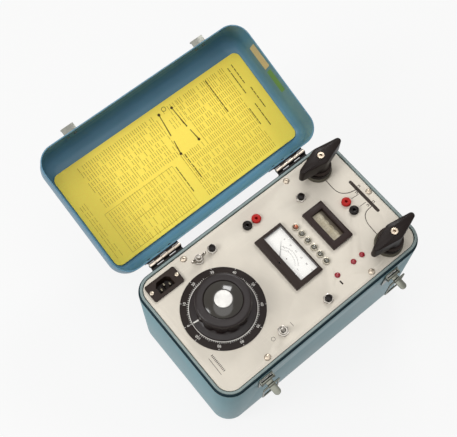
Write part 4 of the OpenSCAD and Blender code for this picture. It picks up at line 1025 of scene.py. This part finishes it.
def toggle_bat():
    """The bat of the mains toggle with its ball."""
    lever = [(0, -6), (1.2, -6), (1.2, -2), (1.3, 0), (1.5, 3), (2.75, 13), (2.7, 16.6), (1.4, 17.7),
             (0, 17.7)]
    angles = [math.pi * i / 12 for i in range(13)]
    ball = spun([(3.2 * math.sin(a), -3.2 * math.cos(a)) for a in angles], steps=24)
    pin = moved(prism(circle(0.9, steps=16), -4.8, 4.8), at(turn=90, axis="X"))
    place = at(TOGGLE_X, TOGGLE_Y, TOGGLE_Z, TOGGLE_LEAN, "Y")
    mesh = moved(merge([spun(soften(lever, 0.8), steps=32), ball, pin]), place)
    show("toggle_bat", mesh, "mains_toggle", bright_plate, ["toggle_lever"])


toggle_bat()

# ---- panel print


def ink_strip(x0, y0, x1, y1, width):
    """A straight printed line between two places on the panel."""
    along = Vector((x1 - x0, y1 - y0))
    turn = math.degrees(math.atan2(along.y, along.x))
    bar = prism(rounded(along.length + width, width, width * 0.3, steps=1), -0.05, 0.05)
    return moved(bar, at((x0 + x1) / 2, (y0 + y1) / 2, PANEL_Z, turn))


def ink_path(points, width):
    """Printed lines from each place to the next."""
    return [ink_strip(*a, *b, width) for a, b in zip(points, points[1:])]


def panel_print():
    """The plan of the measuring circuit, the switch marks and plain label bars."""
    lines = ink_path([(156, -27), (155.9, 28.6)], 5)
    rear = [(156.1, 15.1), (144.4, 17.3), (137.3, 21.2), (132.2, 27), (130.2, 36.4), (131.1, 54.8)]
    front = [(153, -17.2), (143.6, -17.6), (136.3, -21.4), (131.6, -30.4), (130.6, -40.4), (130.3, -53.4)]
    for lead in (rear, front):
        lines += ink_path(soften(lead, 5, 4), 1.1)
    for x, y in ((161, 16.8), (151.3, 11.4), (160.4, -13.6), (150.4, -12.8)):
        hook = [(x - 1.3, y + 1.3), (x + 1.3, y + 1.3), (x + 1.3, y - 1.3), (x - 1.3, y - 1.3)]
        lines += ink_path(hook, 0.8)
    for step in range(12):
        lines += ink_path([(-152.7, -39.8 - 2.3 * step), (-150.5, -39.8 - 2.3 * step)], 1.0)
    for start, end, width in (((140, 9), (151.5, 7.9), 0.8), ((140.9, -6.9), (151.2, -7.3), 0.8),
                              ((-44, -77), (-44, -71), 0.6), ((-157.3, -40.4), (-157.9, -66.8), 0.6),
                              ((45.3, -71), (45.3, -75), 2.4)):
        lines += ink_path([start, end], width)
    lines.append(band(2.4, 2.9, PANEL_Z - 0.05, PANEL_Z + 0.05, (-76, -73.7), 32))
    show("panel_lines", merge(lines), "case", ink_black)


panel_print()

# ---- lid


def lid_card():
    """The instruction card: rows of small print, bold heads, a lead diagram and a table."""
    blocks = [(-130, 4, 13, 74, 36, 8, 0.8), (46, 132, 13, 74, 26, 7, 0.8), (20, 44, 13, 40, 6, 4, 0.7),
              (2, 128, 84, 146, 38, 7, 0.75), (-132, -112, 90, 146, 6, 7, 0.7),
              (-106, -60, 88, 112, 12, 3, 0.7), (-106, -60, 120, 146, 12, 3, 0.7),
              (-54, -24, 88, 146, 8, 6, 0.7), (-160, -152, 60, 140, 3, 8, 0.6)]
    rows = []
    for seed, (x0, x1, v0, v1, count, words, ink) in enumerate(blocks):
        sizes = {"Width": float(x1 - x0), "Depth": float(v1 - v0), "Rows": count, "Words": words, "Ink": ink,
                 "Seed": seed}
        rows.append(moved(ROWS.grow(sizes, ink_card), on_card((x0 + x1) / 2, (v0 + v1) / 2)))
    frames = [(-138, 84, -18, 84), (-138, 150, -18, 150), (-138, 84, -138, 150), (-18, 84, -18, 150),
              (-58, 84, -58, 150), (-108, 84, -108, 150), (-108, 116, -58, 116)]
    for x0, v0, x1, v1 in frames:
        bar = prism(rounded(abs(x1 - x0) + 0.5, abs(v1 - v0) + 0.5, 0.1, steps=1), -0.05, 0.04)
        rows.append(moved(bar, on_card((x0 + x1) / 2, (v0 + v1) / 2)))
    show("card_print", moved(merge(rows), LID_OPEN), "lid", ink_card)
    heads = [(148, 16, 44), (140, 18, 56), (142, 84, 116), (100, 16, 62), (130, 84, 108), (8, 84, 118),
             (-14, 92, 128), (152, 60, 90)]
    bold = []
    for x, v0, v1 in heads:
        sizes = {"Width": 0.01, "Depth": float(v1 - v0), "Rows": 2, "Words": 5, "Ink": 1.3, "Seed": x + 200}
        bold.append(moved(ROWS.grow(sizes, ink_bold), on_card(x, (v0 + v1) / 2)))
    for a, b in (((34, 16), (36, 50)), ((37, 56), (39, 74)), ((12, 14), (8, 48)), ((7, 56), (4, 76))):
        along = Vector(b) - Vector(a)
        bar = prism([(0, 0.6), (along.length, 0.9), (along.length, -0.9), (0, -0.6)], -0.05, 0.05)
        bold.append(moved(bar, on_card(*a, math.degrees(math.atan2(along.y, along.x)))))
    for x, v in ((34, 15), (12, 13), (39, 75), (4, 77)):
        bold.append(moved(prism(circle(2.2, steps=16), -0.05, 0.06), on_card(x, v)))
    bold.append(moved(band(2.8, 3.6, -0.05, 0.05, steps=24), on_card(23, 10)))
    show("card_bold_print", moved(merge(bold), LID_OPEN), "lid", ink_bold)


def on_card(x, v, turn=0):
    """A place on the card's face, v mm from its far edge, which faces down in the closed lid."""
    return at(x, CARD_Y - CARD_D / 2 + v, CARD_Z, turn)


def lid_stickers():
    """Two plain stickers on the end wall of the lid."""
    stickers = (("beige_sticker", sticker_beige, -39.5, 197, 39, 21),
                ("green_sticker", sticker_green, 2.5, 200, 37, 17))
    for name, finish, y, z, w, d in stickers:
        sheet = prism(rounded(d, w, 1.5, steps=3), 0, 0.12)
        show(name, moved(sheet, LID_OPEN @ at(STICKER_X, y, z, -90, "Y")), "lid", finish)


lid_card()
lid_stickers()

# ---- floor and light


def studio():
    """A pale floor, a soft key light, a broad light overhead and a small strip light behind."""
    floor = Finish("floor", (212, 212, 210), 0.8, specular_ior_level=0.0)
    glow = floor.node("ShaderNodeEmission", None, {"Color": WHITE, "Strength": 1.0})
    plain = Wire(floor, floor.shader.outputs[0])
    blend = floor.node("ShaderNodeMixShader", None, {0: seen_ray(floor) * FLOOR_GLOW, 1: plain, 2: glow})
    floor.tree.links.new(blend.socket, floor.tree.nodes["Material Output"].inputs["Surface"])
    mesh = bpy.data.meshes.new("floor")
    corners = [(x * FLOOR_HALF, y * FLOOR_HALF, 0) for x, y in ((-1, -1), (1, -1), (1, 1), (-1, 1))]
    mesh.from_pydata(corners, [], [(0, 1, 2, 3)])
    mesh.materials.append(floor.material)
    add("floor", mesh)
    for name, place, size, power in LAMPS:
        lamp = bpy.data.lights.new(name, "AREA")
        lamp.shape = "RECTANGLE" if name == "strip" else "ELLIPSE"
        lamp.size, lamp.size_y = size
        lamp.energy = power
        light = add(name, lamp)
        light.location = place
        light.rotation_euler = (LAMP_AIM - Vector(place)).to_track_quat("-Z", "Y").to_euler()
    world = bpy.data.worlds.new("studio")
    bpy.context.scene.world = world
    world.use_nodes = True
    tree = Tree()
    tree.tree = world.node_tree
    ground = world.node_tree.nodes["Background"]
    tree.feed(ground.inputs["Strength"], seen_ray(tree) * (1 - AMBIENT) + AMBIENT)
    ground.inputs["Color"].default_value = WHITE


def seen_ray(tree):
    """1 for what the camera sees, also in metal and through glass."""
    camera, glossy, through = [tree.node("ShaderNodeLightPath", out=name) for name in
                               ("Is Camera Ray", "Is Glossy Ray", "Is Transmission Ray")]
    return camera.most(glossy).most(through)


studio()
